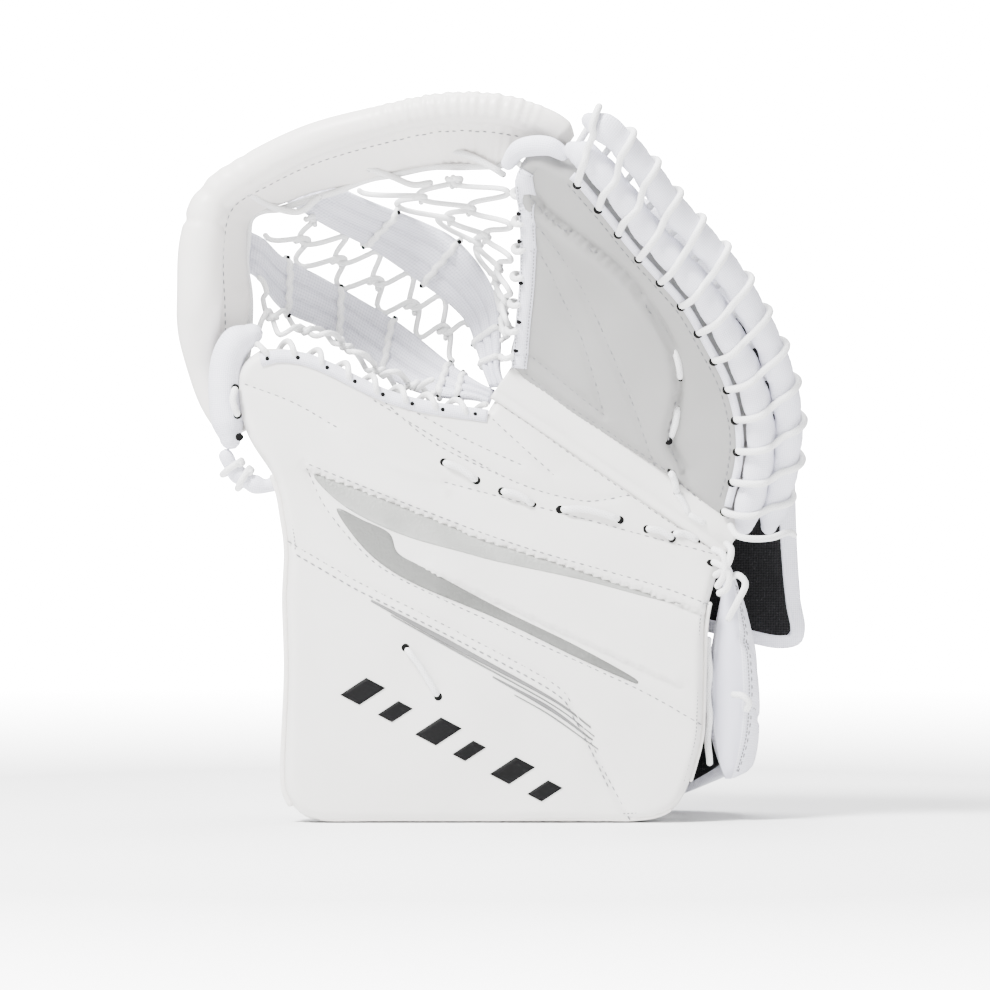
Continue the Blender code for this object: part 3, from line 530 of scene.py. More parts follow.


# ---- stitches, and eyelets drawn as dark dots of painted hole shade, by geometry nodes
def repeatTree(name, sizes, shape, along):
    tree = bpy.data.node_groups.new(name, "GeometryNodeTree")
    tree.interface.new_socket("Geometry", in_out="INPUT", socket_type="NodeSocketGeometry")
    for label, value in sizes.items():
        socket = tree.interface.new_socket(label, in_out="INPUT", socket_type="NodeSocketFloat")
        socket.default_value = value
    tree.interface.new_socket("Finish", in_out="INPUT", socket_type="NodeSocketMaterial")
    tree.interface.new_socket("Geometry", in_out="OUTPUT", socket_type="NodeSocketGeometry")
    start, end = tree.nodes.new("NodeGroupInput"), tree.nodes.new("NodeGroupOutput")
    put = node(tree, "GeometryNodeInstanceOnPoints")
    turn = node(tree, "FunctionNodeAlignRotationToVector", axis="Z")
    if along:
        line = node(tree, "GeometryNodeMeshToCurve")
        wire(start.outputs["Geometry"], line.inputs[0])
        dots = node(tree, "GeometryNodeResampleCurve", mode="LENGTH")
        wire(line.outputs[0], dots.inputs["Curve"])
        wire(start.outputs["Pitch"], dots.inputs["Length"])
        wire(dots.outputs[0], put.inputs["Points"])
        way = node(tree, "GeometryNodeInputTangent")
        wire(way.outputs[0], turn.inputs["Vector"])
    else:
        wire(start.outputs["Geometry"], put.inputs["Points"])
        way = node(tree, "GeometryNodeInputNamedAttribute", data_type="FLOAT_VECTOR")
        way.inputs["Name"].default_value = "facing"
        wire(way.outputs[0], turn.inputs["Vector"])
    ball = node(tree, "GeometryNodeMeshUVSphere")
    ball.inputs["Segments"].default_value, ball.inputs["Rings"].default_value = shape
    ball.inputs["Radius"].default_value = 1.0
    size = node(tree, "ShaderNodeCombineXYZ")
    for k, label in enumerate(("Width", "Width", "Length")):
        wire(start.outputs[label], size.inputs[k])
    form = node(tree, "GeometryNodeTransform")
    wire(ball.outputs["Mesh"], form.inputs["Geometry"])
    wire(size.outputs[0], form.inputs["Scale"])
    wire(form.outputs[0], put.inputs["Instance"])
    wire(turn.outputs[0], put.inputs["Rotation"])
    real = node(tree, "GeometryNodeRealizeInstances")
    wire(put.outputs[0], real.inputs[0])
    paint = node(tree, "GeometryNodeSetMaterial")
    wire(real.outputs[0], paint.inputs["Geometry"])
    wire(start.outputs["Finish"], paint.inputs["Material"])
    wire(paint.outputs[0], end.inputs["Geometry"])
    return tree


stitchTree = repeatTree("stitchRow", {"Pitch": 0.0045, "Width": 0.0004, "Length": 0.0014}, (6, 5), True)
eyeletTree = repeatTree("eyelets", {"Width": 0.0022, "Length": 0.0006}, (12, 6), False)


def grown(name, tree, mesh, values, material):
    holder = bpy.data.objects.new(name + "Path", mesh)
    bpy.context.scene.collection.objects.link(holder)
    change = holder.modifiers.new("grow", "NODES")
    change.node_group = tree
    sockets = {s.name: s.identifier for s in tree.interface.items_tree if s.in_out == "INPUT"}
    for label, value in values.items():
        change[sockets[label]] = value
    change[sockets["Finish"]] = finishes[material]
    made = bpy.data.meshes.new_from_object(holder.evaluated_get(bpy.context.evaluated_depsgraph_get()))
    bpy.data.objects.remove(holder)
    made.shade_smooth()
    if not made.materials:
        made.materials.append(finishes[material])
    piece = bpy.data.objects.new(name, made)
    bpy.context.scene.collection.objects.link(piece)
    return piece


def stitches(name, lines, pitch=4.5, width=0.42, length=1.45, material="thread"):
    verts, edges, count = [], [], 0
    for line in lines:
        verts.append(line)
        edges += [(count + i, count + i + 1) for i in range(len(line) - 1)]
        count += len(line)
    mesh = bpy.data.meshes.new(name + "Path")
    mesh.from_pydata(place(np.vstack(verts)).tolist(), edges, [])
    return grown(name, stitchTree, mesh, {"Pitch": pitch * 0.001, "Width": width * 0.001,
                                          "Length": length * 0.001}, material)


# an eyelet is a flat near-black disc on the surface, painted shade standing for the dark inside of a lace hole
def eyelets(name, points, rise, width=2.1, length=0.5, material="paintedHoleShade"):
    mesh = bpy.data.meshes.new(name + "Path")
    mesh.from_pydata(place(points).tolist(), [], [])
    mesh.attributes.new("facing", "FLOAT_VECTOR", "POINT").data.foreach_set(
        "vector", np.tile(np.array((0, -1, rise), np.float32), len(points)))
    return grown(name, eyeletTree, mesh, {"Width": width * 0.001, "Length": length * 0.001}, material)


# ---- palm and cuff
palmSide = {
    "outline": [(-124, 188), (-119, 166), (-117, 148), (-118, 122), (-117, 81), (-119, 30), (-117, 13), (-108, 3),
                (-96, 0), (-70, 0), (-45, 0), (0, 0), (42, 0), (60, 0), (72, 0), (87, 2), (97, 8), (103, 18),
                (107, 30), (111, 46), (112, 62), (113, 100), (115, 118), (121, 138), (123.6, 151), (83, 179.5),
                (28, 216.7), (2, 234.5), (-6, 227.5), (-17, 229), (-40, 232.5), (-62, 238.5), (-80, 246.5),
                (-94, 253.5), (-108, 259), (-121, 261), (-134, 259), (-144.4, 245), (-140, 215)],
    "seams": {"palmA": [(-63, 231), (-35, 208), (11, 186)], "palmB": [(-49, 227), (-17, 210), (11, 197)],
              "palmC": [(-7, 225), (11, 208), (30, 191)],
              "palmD": [(-69, 232), (-19, 202), (12, 186), (39, 178), (55, 177), (75, 181)],
              "lower": [(-30, 187), (27, 172), (83, 157), (121, 147)], "thumb": [(-140, 241), (-114, 231),
                        (-91, 218)],
              "aboveInlay": [(-108, 198), (-46, 173), (11, 152), (83, 131), (114, 120)],
              "belowInlay": [(-108, 198), (-96, 173), (-77, 150), (-59, 136), (-22, 118), (28, 95), (78, 72),
                             (110, 54)],
              "cuffCurve": [(-116, 154), (-111, 151), (-80, 133), (-66, 126), (-32, 109), (28, 77), (41, 61),
                            (50, 44), (59, 25), (71, 2)],
              "breakSide": [(0, 231), (28, 211), (83, 173), (121, 148)]},
    "overlap": [(-102, 193), (-65, 179), (-28, 164), (-9, 156), (11, 150), (83, 126), (113, 114)],
    "raised": [(-91, 218), (-76, 208), (-63, 198), (-40, 190), (-30, 182)],
    "ridge": [(-37, 138), (0, 121), (95, 77)],
    "pale": [(-101, 191.5), (-64, 177.6), (-27, 162.8), (0, 152.3), (44, 138.5), (80, 126.5), (100, 119.5),
             (80, 124), (44, 133.5), (0, 143), (-19, 148), (-51, 157), (-77, 168.5), (-94, 180.5)],
    "dark": [(-90, 172.5), (-75, 166), (-61, 159), (-56, 148), (-41, 139.5), (0, 117.5), (40, 98), (72, 80.5),
             (76, 76), (70, 78), (41, 91), (0, 111), (-45, 130), (-66, 142.5), (-80, 156.5)],
    "laces": [[(-31, 198), (-22, 194.5), (-13, 188)], [(1, 182), (10, 180), (18, 175)],
              [(33, 172), (48, 171.5), (66, 166)], [(81, 161), (88, 160), (95, 156)],
              [(96, 158), (102, 158.5), (109, 155)], [(-52, 96), (-44, 85.5), (-34, 69)]],
}


def palmRelief(flat):
    height = np.zeros(len(flat))
    far = np.full(len(flat), 40.0)
    for name, points in palmSide["seams"].items():
        line = path(points, 3.0)
        d, side = nearest(flat, line)
        height -= 0.85 * bell(d, 1.3)
        far = np.minimum(far, d)
        if name == "cuffCurve":
            height += np.where(side < 0, 0.9, 0.0) * (1 - bell(d, 1.6)) * np.exp(-d / 60)
    height += 1.5 * (1 - np.exp(-far / 12))
    d, side = nearest(flat, path(palmSide["overlap"], 3.0))
    height += np.where(side > 0, 1.9, -1.3) * bell(d, 8.0) * (side != 0)
    height -= 1.2 * bell(d, 1.0)
    d, _ = nearest(flat, path(palmSide["raised"], 3.0))
    height += 1.2 * bell(d, 2.4)
    d, side = nearest(flat, path(palmSide["ridge"], 3.0))
    height += np.where(side > 0, 1.5, -0.5) * bell(d, 6.0)
    x, z = flat[:, 0], flat[:, 1]
    height += 0.35 * np.sin(x / 23 + z / 31) + 0.25 * np.sin(x / 11 - z / 17)
    height -= 1.2 * np.exp(-((overBreak(x, z) + 3) / 5.0) ** 2)
    return height


def onPalm(points, above=0.0, step=1.5, dense=True):
    line = path(points, step) if dense else np.asarray(points, float)
    return over(palmDepth, line, -palmRelief(line) - above)


def onFinger(points, above=0.0, step=1.5, dense=True):
    line = path(points, step) if dense else np.asarray(points, float)
    return over(fingerDepth, line, -fingerRelief(line) - above)


def patchOver(name, outline, surface, relief, above, material, spacing=1.5, thick=1.6):
    def raised(flat):
        return relief(flat) + above
    return sheetOver(name, outline, surface, raised, material, spacing, 0.4, 0.0, thick, 0.1, 4.0, True)


def laceOver(points, onto, dip=3.2, radius=2.0):
    line = onto(points, 1.2, 1.4)
    t = np.linspace(0, 1, len(line))
    sink = dip * (bell(t, 0.07) + bell(1 - t, 0.07))
    line[:, 1] += sink
    return rounded(line, radius, 10)


def thinStrip(points, width, onto, above):
    line = path(points, 2.0)
    w = np.asarray(width) if not np.isscalar(width) else np.full(len(line), width)
    w = np.interp(np.linspace(0, 1, len(line)), np.linspace(0, 1, len(w)), w)
    t = tangentsOf(line)
    n = leftOf(t)
    sides = [line + n * w[:, None] / 2, line - n * w[:, None] / 2]
    high = [onto(s, above, dense=False) for s in sides]
    low = [onto(s, above - 0.35, dense=False) for s in sides]
    return skin(np.stack([high[0], high[1], low[1], low[0]], 1))


keep(sheetOver("palmLeather", palmSide["outline"], palmDepth, palmRelief, "whiteLeather", 2.0, 5.0, 0.0, 15.0,
     2.0, 7.0), "palm_body", "white_leather", "cuff_face", "cuff_foam", "cuff_board", fill=0.8)
keep(sheetOver("cuffLining", inset(outlineOf(palmSide["outline"], 4.0), 0.6), palmDepth,
     lambda flat: np.zeros(len(flat)), "blackMesh", 5.0, 0.6, 15.1, 18.6, 0.6, 8.0), "palm_body",
     "black_lining", "cuff_back_lining")
keep(patchOver("paleInlay", palmSide["pale"], palmDepth, palmRelief, 0.55, "paleSilver"), "palm_body",
     "silver_grain", "inlay_upper")
keep(patchOver("darkInlay", palmSide["dark"], palmDepth, palmRelief, 0.55, "darkSilver"), "palm_body",
     "silver_grain", "inlay_lower")

keep(pieceOf("palmLaces", [laceOver(points, onPalm) for points in palmSide["laces"]], "cord"), "palm_body",
     "white_cord", "palm_lace", "cuff_toggle_lace")
ends = np.array([p for points in palmSide["laces"] for p in (points[0], points[-1])], float)
keep(eyelets("palmHoles", onPalm(ends, 0.1, dense=False), 0, 2.3), "palm_body")
rows = [onPalm(points, 0.12) for points in palmSide["seams"].values()]
cuffTwin = [(x, z - 4.5) for x, z in palmSide["seams"]["cuffCurve"][1:-1]]
rows.append(onPalm(cuffTwin, 0.12))
keep(stitches("palmThread", rows), "palm_body")
edgeLoop = outlineOf(palmSide["outline"], 2.0)
x, z = edgeLoop.T
leftEdge, rightEdge, footEdge = (edgeLoop[part] for part in ((x < -100) & (z > 8) & (z < 190),
                                                             (x > 100) & (z > 22) & (z < 120),
                                                             (abs(x) < 100) & (z < 5)))
leftEdge, rightEdge = (line[np.argsort(line[:, 1])] for line in (leftEdge, rightEdge))
footEdge = footEdge[np.argsort(footEdge[:, 0])]
borderRows = [over(palmDepth, line + shift, -0.2)
              for line, shift in ((leftEdge, (4.2, 0)), (rightEdge, (-3.4, 0)), (footEdge, (0, 4.6)))]
keep(stitches("borderThread", borderRows, 2.1, 0.3, 0.7), "palm_body")


# the edge piping and the printed marks
def piping():
    parts = []
    for line, side in ((leftEdge, -0.8), (footEdge, None), (rightEdge, 0.5)):
        if side is None:
            track = np.stack([line[:, 0], np.full(len(line), 2.6), line[:, 1] + 1.75], -1)
        else:
            track = np.stack([line[:, 0] + side, np.full(len(line), 5.0), line[:, 1]], -1)
        parts.append(rounded(even(track, step=3.0), 1.7 if side is None or side < 0 else 1.2, 10))
    return parts


keep(pieceOf("edgePiping", piping(), "rollLeather"), "palm_body", "white_leather", "cuff_edge_piping")
markBars = {"start": (-88, 70), "step": (20.6, -10.9), "widths": (12, 9, 13, 8, 12, 9), "height": 15, "lean": 0.55}
barParts = []
barWay = np.array(markBars["step"]) / np.linalg.norm(markBars["step"])
barUp = np.array((-barWay[1], barWay[0]))
for k, w in enumerate(markBars["widths"]):
    tall = markBars["height"] - 3.0 * (k % 2)
    rings = []
    for up in np.linspace(0, 1, 7):
        base = np.array(markBars["start"]) + np.array(markBars["step"]) * k + barUp * (up * tall)
        row = [base + barWay * (markBars["lean"] * up * tall + w * t) for t in np.linspace(0, 1, 6)]
        rings.append(np.vstack([onPalm(row, 0.42, dense=False), onPalm(row[::-1], -0.3, dense=False)]))
    barParts.append(skin(np.array(rings)))
keep(pieceOf("printedBars", barParts, "blackPrint"), "palm_body")
stripeParts = [thinStrip([(-71, 122), (-27, 98), (28, 68), (50, 52)], (1.2, 3.2, 2.0, 0.8), onPalm, 0.4),
               thinStrip([(-60, 114), (-27, 95.5), (28, 65), (52, 47)], (0.5, 0.8, 0.8, 0.5), onPalm, 0.4),
               thinStrip([(-4, 80), (28, 62), (51, 45)], (0.8, 2.2, 0.8), onPalm, 0.4),
               thinStrip([(8, 70), (28, 58.5), (54, 40)], (0.4, 0.8, 0.5), onPalm, 0.4)]
keep(pieceOf("printedStripes", stripeParts, "greyPrint"), "palm_body")
print("palm made")


# ---- finger plate
fingerSide = {
    "pocket": [(28, 230.5), (6, 250.5), (8, 271), (10.4, 295), (11, 319), (10, 340), (9, 354), (14, 361),
               (23, 361.5),
               (31, 357)],
    "band": [(36, 359), (45, 354), (61, 336), (75, 318), (90, 302), (105, 285), (117, 266), (128, 246),
             (135, 225),
             (137, 207), (135.5, 192), (132, 178), (129, 164)],
    "seams": {"fingerA": [(12, 336), (28, 317), (43, 295), (57, 267), (74, 227), (85, 197)],
              "fingerB": [(13, 324), (26, 304), (35, 285), (44, 267), (52, 243), (57, 224)],
              "cross": [(57, 224), (33, 243), (11, 261)],
              "crease": [(13, 347), (25, 332), (47, 315), (68, 297), (81, 280), (92, 262), (97, 243), (96, 228),
                         (93, 210), (100, 194)],
              "foot": [(11, 249), (33, 232), (84, 199), (95, 191), (110, 177), (121, 168)]},
    "laces": [[(94, 258), (97, 251), (98, 243)], [(97, 228), (96, 219), (93, 210)], [(95, 194), (97, 188),
               (98, 182)],
              [(98, 182), (102, 176), (105, 170)], [(105, 170), (110, 167), (114, 165)]],
    "top": [(3, 357.4), (8, 363.6), (15.5, 365.6), (25, 365), (32, 361.2)],
    "slit": 3.4, "roll": 7.9, "away": 5.8, "step": 12.6, "drop": 7.0, "wraps": 13,
}


def fingerRelief(flat):
    height = np.zeros(len(flat))
    far = np.full(len(flat), 40.0)
    for name, points in fingerSide["seams"].items():
        d, side = nearest(flat, path(points, 3.0))
        height -= 0.9 * bell(d, 1.3)
        far = np.minimum(far, d)
        if name == "crease":
            height += np.where(side < 0, 2.6, -1.6) * bell(d, 10.0) - 1.4 * bell(d, 2.4)
    height += 2.0 * (1 - np.exp(-far / 14))
    x, z = flat[:, 0], flat[:, 1]
    height += 0.4 * np.sin(x / 15 + z / 27 + 1) + 0.25 * np.sin(x / 8 - z / 14)
    height -= 1.0 * np.exp(-((overBreak(x, z) - 9) / 5.0) ** 2)
    return height


bandEdge = [tuple(p) for p in aside(fingerSide["band"][1:], -fingerSide["slit"])]
fingerOutline = fingerSide["pocket"] + bandEdge + [(95, 187), (83, 195.5)]
# the finger plate's leather takes the dark grey finish, painted shade for its turn away from the light
keep(sheetOver("fingerLeatherPaintedShade", fingerOutline, fingerDepth, fingerRelief, "fingerLeatherPaintedShade", 2.0, 4.0, 0.0, 14.9,
     2.0, 7.0), "finger_body", "white_leather", "finger_face", "finger_foam", "finger_board", fill=0.8)
keep(sheetOver("fingerBackCover", fingerOutline, fingerDepth, lambda flat: np.zeros(len(flat)), "blackMesh",
     5.0, 0.6, 15.0, 18.6, 0.6, 8.0), "finger_body", "black_lining", "finger_back_cover")


def bandLine(away, deep, step=1.6):
    line = path(aside(fingerSide["band"], away), step)
    return over(fingerDepth, line, deep)


def bandRoll(away, deep, shift, gather=0.075):
    line = bandLine(away, deep)
    share = np.linspace(0, fingerSide["wraps"], len(line))
    a = np.linspace(0, 2 * np.pi, 20, endpoint=False)
    pinch = np.exp(-((((share - shift) % 1.0) - 0.5) / 0.16) ** 2)
    bulge = 1.0 + 0.03 * np.cos(2 * np.pi * (share - shift)) - gather * pinch
    folds = 1 + 0.018 * np.sin(3 * a[None] + 2.2 * share[:, None]) + 0.012 * np.sin(31 * share[:, None] + a[None])
    ripple = bulge[:, None] * folds
    ripple = np.vstack([ripple[:1]] * 3 + [ripple] + [ripple[-1:]] * 3)
    taper = np.clip(np.minimum(share, fingerSide["wraps"] - share) / 0.35, 0, 1)
    return rounded(line, fingerSide["roll"] * np.sqrt(0.4 + 0.6 * taper), 20, ripple=ripple)


bandFacts = [("bandRollFront", "finger_binding_front", fingerSide["away"], 1.0, 0.20),
             ("bandRollBack", "finger_binding_back", fingerSide["away"] + fingerSide["step"],
              1.0 + fingerSide["drop"], 0.45)]
for name, stands, away, deep, shift in bandFacts:
    keep(pieceOf(name, bandRoll(away, deep, shift), "nylon"), "finger_body", "white_nylon", stands, fill=0.9)


def bandLace():
    front, back = (bandLine(away, deep, 0.8) for _, _, away, deep, _ in bandFacts)
    holeFront, holeBack = (bandLine(-fingerSide["slit"] - 2.6, deep, 0.8) for deep in (-1.0, 13))
    turns, reach = fingerSide["wraps"], fingerSide["roll"] + 1.2
    holes, line = [], []

    def at(track, s):
        k = np.clip(s / turns, 0, 1) * (len(track) - 1)
        i = min(int(k), len(track) - 2)
        p = track[i] + (track[i + 1] - track[i]) * (k - i)
        t = track[i + 1] - track[i]
        return p, t / np.linalg.norm(t)

    for w in range(turns):
        s = turns - w - 0.35
        line.append(at(holeBack, s + 0.03)[0])
        line.append(at(holeFront, s)[0])
        for lag, side, angle in ((0.08, 0, 136), (0.18, 0, 88), (0.26, 0, 52), (0.36, 1, 118),
                                 (0.46, 1, 86), (0.54, 1, 48), (0.60, 1, 5), (0.66, 1, -45), (0.74, 1, -92),
                                 (0.84, 0, -70), (0.92, 0, -112)):
            p, t = at((front, back)[side], s - lag)
            other, _ = at((front, back)[1 - side], s - lag)
            far = (other - p) * (1 if side == 0 else -1)
            far -= t * (far @ t)
            far = unit(far)
            rise = np.cross(t, far)
            rise *= -1 if rise[1] > 0 else 1
            a = math.radians(angle)
            line.append(p + far * (reach * math.cos(a)) + rise * (reach * math.sin(a)))
        holes.append(at(holeFront, s)[0])
    return np.array(line), np.array(holes)


laceLine, laceHoles = bandLace()
keep(pieceOf("bandLace", rounded(path(laceLine, 1.3), 2.0, 10), "cord"), "finger_body", "white_cord",
     "finger_edge_lace")
innerLine = path(aside(fingerSide["band"], -fingerSide["slit"] - 1.6), 1.0)
spots = laceHoles[:, [0, 2]]
keep(eyelets("bandHoles", onFinger(spots, 0.3, dense=False), 0.2, 2.7, 0.6),
     "finger_body")

topLine = path(fingerSide["top"], 1.2)
topLine = over(fingerDepth, topLine, 4.2)
topShare = np.linspace(0, 1, len(topLine))
keep(pieceOf("topRoll", rounded(topLine, 5.6 * np.sqrt(0.5 + 0.5 * np.sin(np.pi * topShare)), 18), "nylon"),
     "finger_body", "white_nylon", "finger_top_roll", fill=0.85)
keep(pieceOf("fingerLaces", [laceOver(points, onFinger) for points in fingerSide["laces"]], "cord"),
     "finger_body", "white_cord")
ends = np.array([p for points in fingerSide["laces"] for p in (points[0], points[-1])], float)
keep(eyelets("fingerHoles", onFinger(ends, 0.1, dense=False), 0.2, 2.3), "finger_body")
rows = [onFinger(points, 0.12) for points in fingerSide["seams"].values()]
edgeRow = path(aside(fingerSide["band"][1:-1], -fingerSide["slit"] - 7.0), 2.0)
rows.append(onFinger(edgeRow, 0.1, dense=False))
keep(stitches("fingerThread", rows), "finger_body")
rimRow = path(fingerSide["pocket"][1:8], 2.0)
keep(pieceOf("pocketTrim", thinStrip(aside(rimRow, -4.6)[::3], 8.5, onFinger, 0.55),
     "nylon"), "finger_body", "white_nylon")
keep(pieceOf("bandTrim", thinStrip(innerLine[6:-4:6], 4.2, onFinger, 0.5), "nylon"),
     "finger_body", "white_nylon")
trimRows = [onFinger(aside(rimRow, -1.4), 0.7, dense=False), onFinger(aside(rimRow, -7.8), 0.7, dense=False)]
keep(stitches("fingerBorder", trimRows, 2.1, 0.28, 0.7), "finger_body")

# ---- the break between palm and fingers
breakFacts = {"u": (3, -20, -45, -75, -105, -130, -153), "low": -4.6, "high": 17.0, "start": -3.0, "end": 10.0}


def alongXz(u, v):
    u, v = np.asarray(u, float), np.asarray(v, float)
    ax, az = glove["along"]
    cx, cz = glove["across"]
    return np.stack([u * ax + v * cx, glove["heel"][2] + u * az + v * cz], -1)


def hinged(x, z):
    v = overBreak(x, z)
    t = np.clip((v + 2) / 6, 0, 1)
    return palmDepth(x, z) * (1 - t) + fingerDepth(x, z) * t


def breakStrip():
    us = np.linspace(breakFacts["u"][0], breakFacts["u"][-1], 90)
    share = np.linspace(0, 1, 15)
    bowed = np.clip(share / 0.72, 0, 1)
    tuck = 5.0 * np.clip((share - 0.74) / 0.26, 0, 1) ** 1.3
    rings = []
    for u in us:
        v = breakFacts["low"] + (breakFacts["high"] - breakFacts["low"]) * share
        p = alongXz(np.full(15, u), v)
        bow = 1.9 * np.sin(np.pi * bowed) + 0.5 - 0.35 * np.sin(u / 9) * np.sin(np.pi * bowed) - tuck
        front = over(hinged, p, -bow)
        rear = over(hinged, p[::-1], (2.4 + tuck)[::-1])
        rings.append(np.vstack([front, rear]))
    return skin(np.array(rings))


breakPiece = keep(pieceOf("breakStrip", breakStrip(), "whiteLeather"), None, "white_leather", "break_gusset")
print("fingers made")


# ---- perimeter roll and its wall
perimeterFacts = {
    "roll": [(-147, 27.6, 214), (-158, 30, 232), (-164, 27, 252), (-167, 18, 272), (-166, 8, 292),
             (-164.5, 4, 320),
             (-157, 4, 344), (-132, -2, 361), (-104, -12, 374), (-70, -22, 383), (-33, -34, 390), (0, -40, 389),
             (25, -40, 381), (38, -38.4, 371.8)],
    "share": [0.67, 0.76, 0.88, 1.0, 1.04, 1.04, 0.92, 0.84, 0.78, 0.72, 0.7, 0.7, 0.7, 0.66],
    "inner": [(-138, 34, 214), (-146, 38, 234), (-144, 40, 254), (-141, 38, 274), (-142, 43, 294),
              (-143, 45, 320),
              (-139, 44, 337), (-124, 38, 341), (-99, 30, 348), (-68, 13, 357), (-32, -4, 362), (-4, -22, 361),
              (18, -30, 366), (32, -32, 363)],
    "radius": 12.0, "steps": 300, "wall": 3.0,
    "creases": [(-158, 345, 2.6), (-153, 352, 2.2), (-146, 357, 2.8), (-138, 361, 2.0), (-164, 330, 1.6)],
}


def perimeterMesh():
    facts = perimeterFacts
    n = facts["steps"]
    both = smooth(np.hstack([facts["roll"], facts["inner"], np.array(facts["share"])[:, None]]))
    run = np.r_[0, np.cumsum(np.linalg.norm(np.diff(both[:, :3], axis=0), axis=1))]
    marks = np.linspace(0, run[-1], n)
    both = np.stack([np.interp(marks, run, both[:, k]) for k in range(7)], -1)
    roll, edge, share = both[:, :3], both[:, 3:6], both[:, 6]
    t = tangentsOf(roll)
    a = np.radians(np.linspace(24, 336, 30))
    rings = []
    for i in range(n):
        p, q, s = roll[i], edge[i], marks[i]
        away = q - p
        away -= t[i] * (away @ t[i])
        width = np.linalg.norm(away)
        away /= width
        rise = np.cross(t[i], away)
        rise *= -1 if rise[1] > 0 else 1
        r = facts["radius"] * share[i]
        top = np.clip((p[0] + 75) / 25, 0, 1) * np.clip((25 - p[0]) / 15, 0, 1)
        gather = top * (0.055 * np.sin(s * 1.15 + 0.8 * math.sin(s * 0.21)) + 0.03 * np.sin(s * 0.53))
        gather = gather * np.clip(np.sin((a - math.radians(60)) * 0.8), 0, 1) + 0.012 * math.sin(s * 0.09)
        fold = sum(-0.16 * math.exp(-((p[0] - cx) ** 2 + (p[2] - cz) ** 2) / (2 * w * w))
                   for cx, cz, w in facts["creases"])
        end = math.sqrt(min(1.0, 0.25 + min(s, run[-1] - s) / 9.0))
        rr = r * end * (1 + gather + fold * (0.6 + 0.4 * np.sin(2 * a)))
        circle = p + away * (rr * np.cos(a))[:, None] + rise * (rr * np.sin(a))[:, None]
        flat = np.linspace(r * end * math.cos(math.radians(24)) + 1.0, max(width, r + 2.5), 7)
        puff = facts["wall"] + 0.9 * np.sin(np.pi * (flat - flat[0]) / (flat[-1] - flat[0]))
        puff[-1] = facts["wall"] * 0.5
        puff[0] = facts["wall"] * 0.8
        puff += 0.35 * top * math.sin(s * 0.9)
        rear = p + away * flat[:, None] - rise * puff[:, None]
        fore = p + away * flat[::-1, None] + rise * puff[::-1, None]
        rings.append(np.vstack([circle, rear, fore]))
    return np.array(rings), roll, edge


perimeterRings, rollLine, rimLine = perimeterMesh()
perimeterPiece = keep(pieceOf("perimeter", skin(perimeterRings), "rollLeather"), None, "white_leather",
                      "perimeter_roll_thumb", "perimeter_wall_thumb", "perimeter_corner",
                      "perimeter_roll_finger", "perimeter_wall_finger", fill=0.9)


rimAway = rimLine - rollLine
rimAway = unit(rimAway)
rimCord = rimLine + rimAway * 1.9 + np.stack([0.5 * np.sin(np.arange(len(rimLine)) / 5.0)] * 3, -1)
rimCord = rimCord[30:-28]
rimLace = keep(pieceOf("rimLace", rounded(even(rimCord, step=1.6), 2.0, 10), "cord"), None, "white_cord",
               "perimeter_lace_thumb", "perimeter_lace_finger")
blended = [(perimeterPiece, -20.0, 24.0), (rimLace, -20.0, 24.0), (breakPiece, breakFacts["start"],
                                                                breakFacts["end"])]
rollThread = stitches("rollThread", [perimeterRings[6:-6, 42] * 0.97 + perimeterRings[6:-6, 43] * 0.03], 4.5, 0.4,
                      1.4)
blended.append((rollThread, -20.0, 24.0))


def crossOver(points, lift=1.4, dip=3.0, radius=1.9):
    line = path(points, 1.3)
    t = np.linspace(0, 1, len(line))
    line[:, 1] += -lift * np.sin(np.pi * t) + dip * (bell(t, 0.08) + bell(1 - t, 0.08))
    return rounded(line, radius, 10)


def onRim(x, z):
    flat = perimeterRings[:, 37:, :].reshape(-1, 3)
    k = np.argmin((flat[:, 0] - x) ** 2 + (flat[:, 2] - z) ** 2)
    return flat[k, 1]


rimLoops = [[(-72, 360), (-60, 356), (-48, 351), (-38.5, 352)], [(-24, 368), (-12, 363), (1.6, 355)],
            [(-139, 347), (-128, 341), (-112, 338), (-101, 346)]]
loopParts, loopEnds = [], []
for points in rimLoops:
    track = [(x, onRim(x, z) - 2.6, z) for x, z in points]
    loopParts.append(crossOver(track))
    loopEnds += [track[0], track[-1]]
keep(pieceOf("rimLoopLace", loopParts, "cord"), "finger_body", "white_cord")
keep(eyelets("rimHoles", np.array(loopEnds) + (0, 2.2, 0), 0.2, 1.6, 0.6),
     "finger_body")

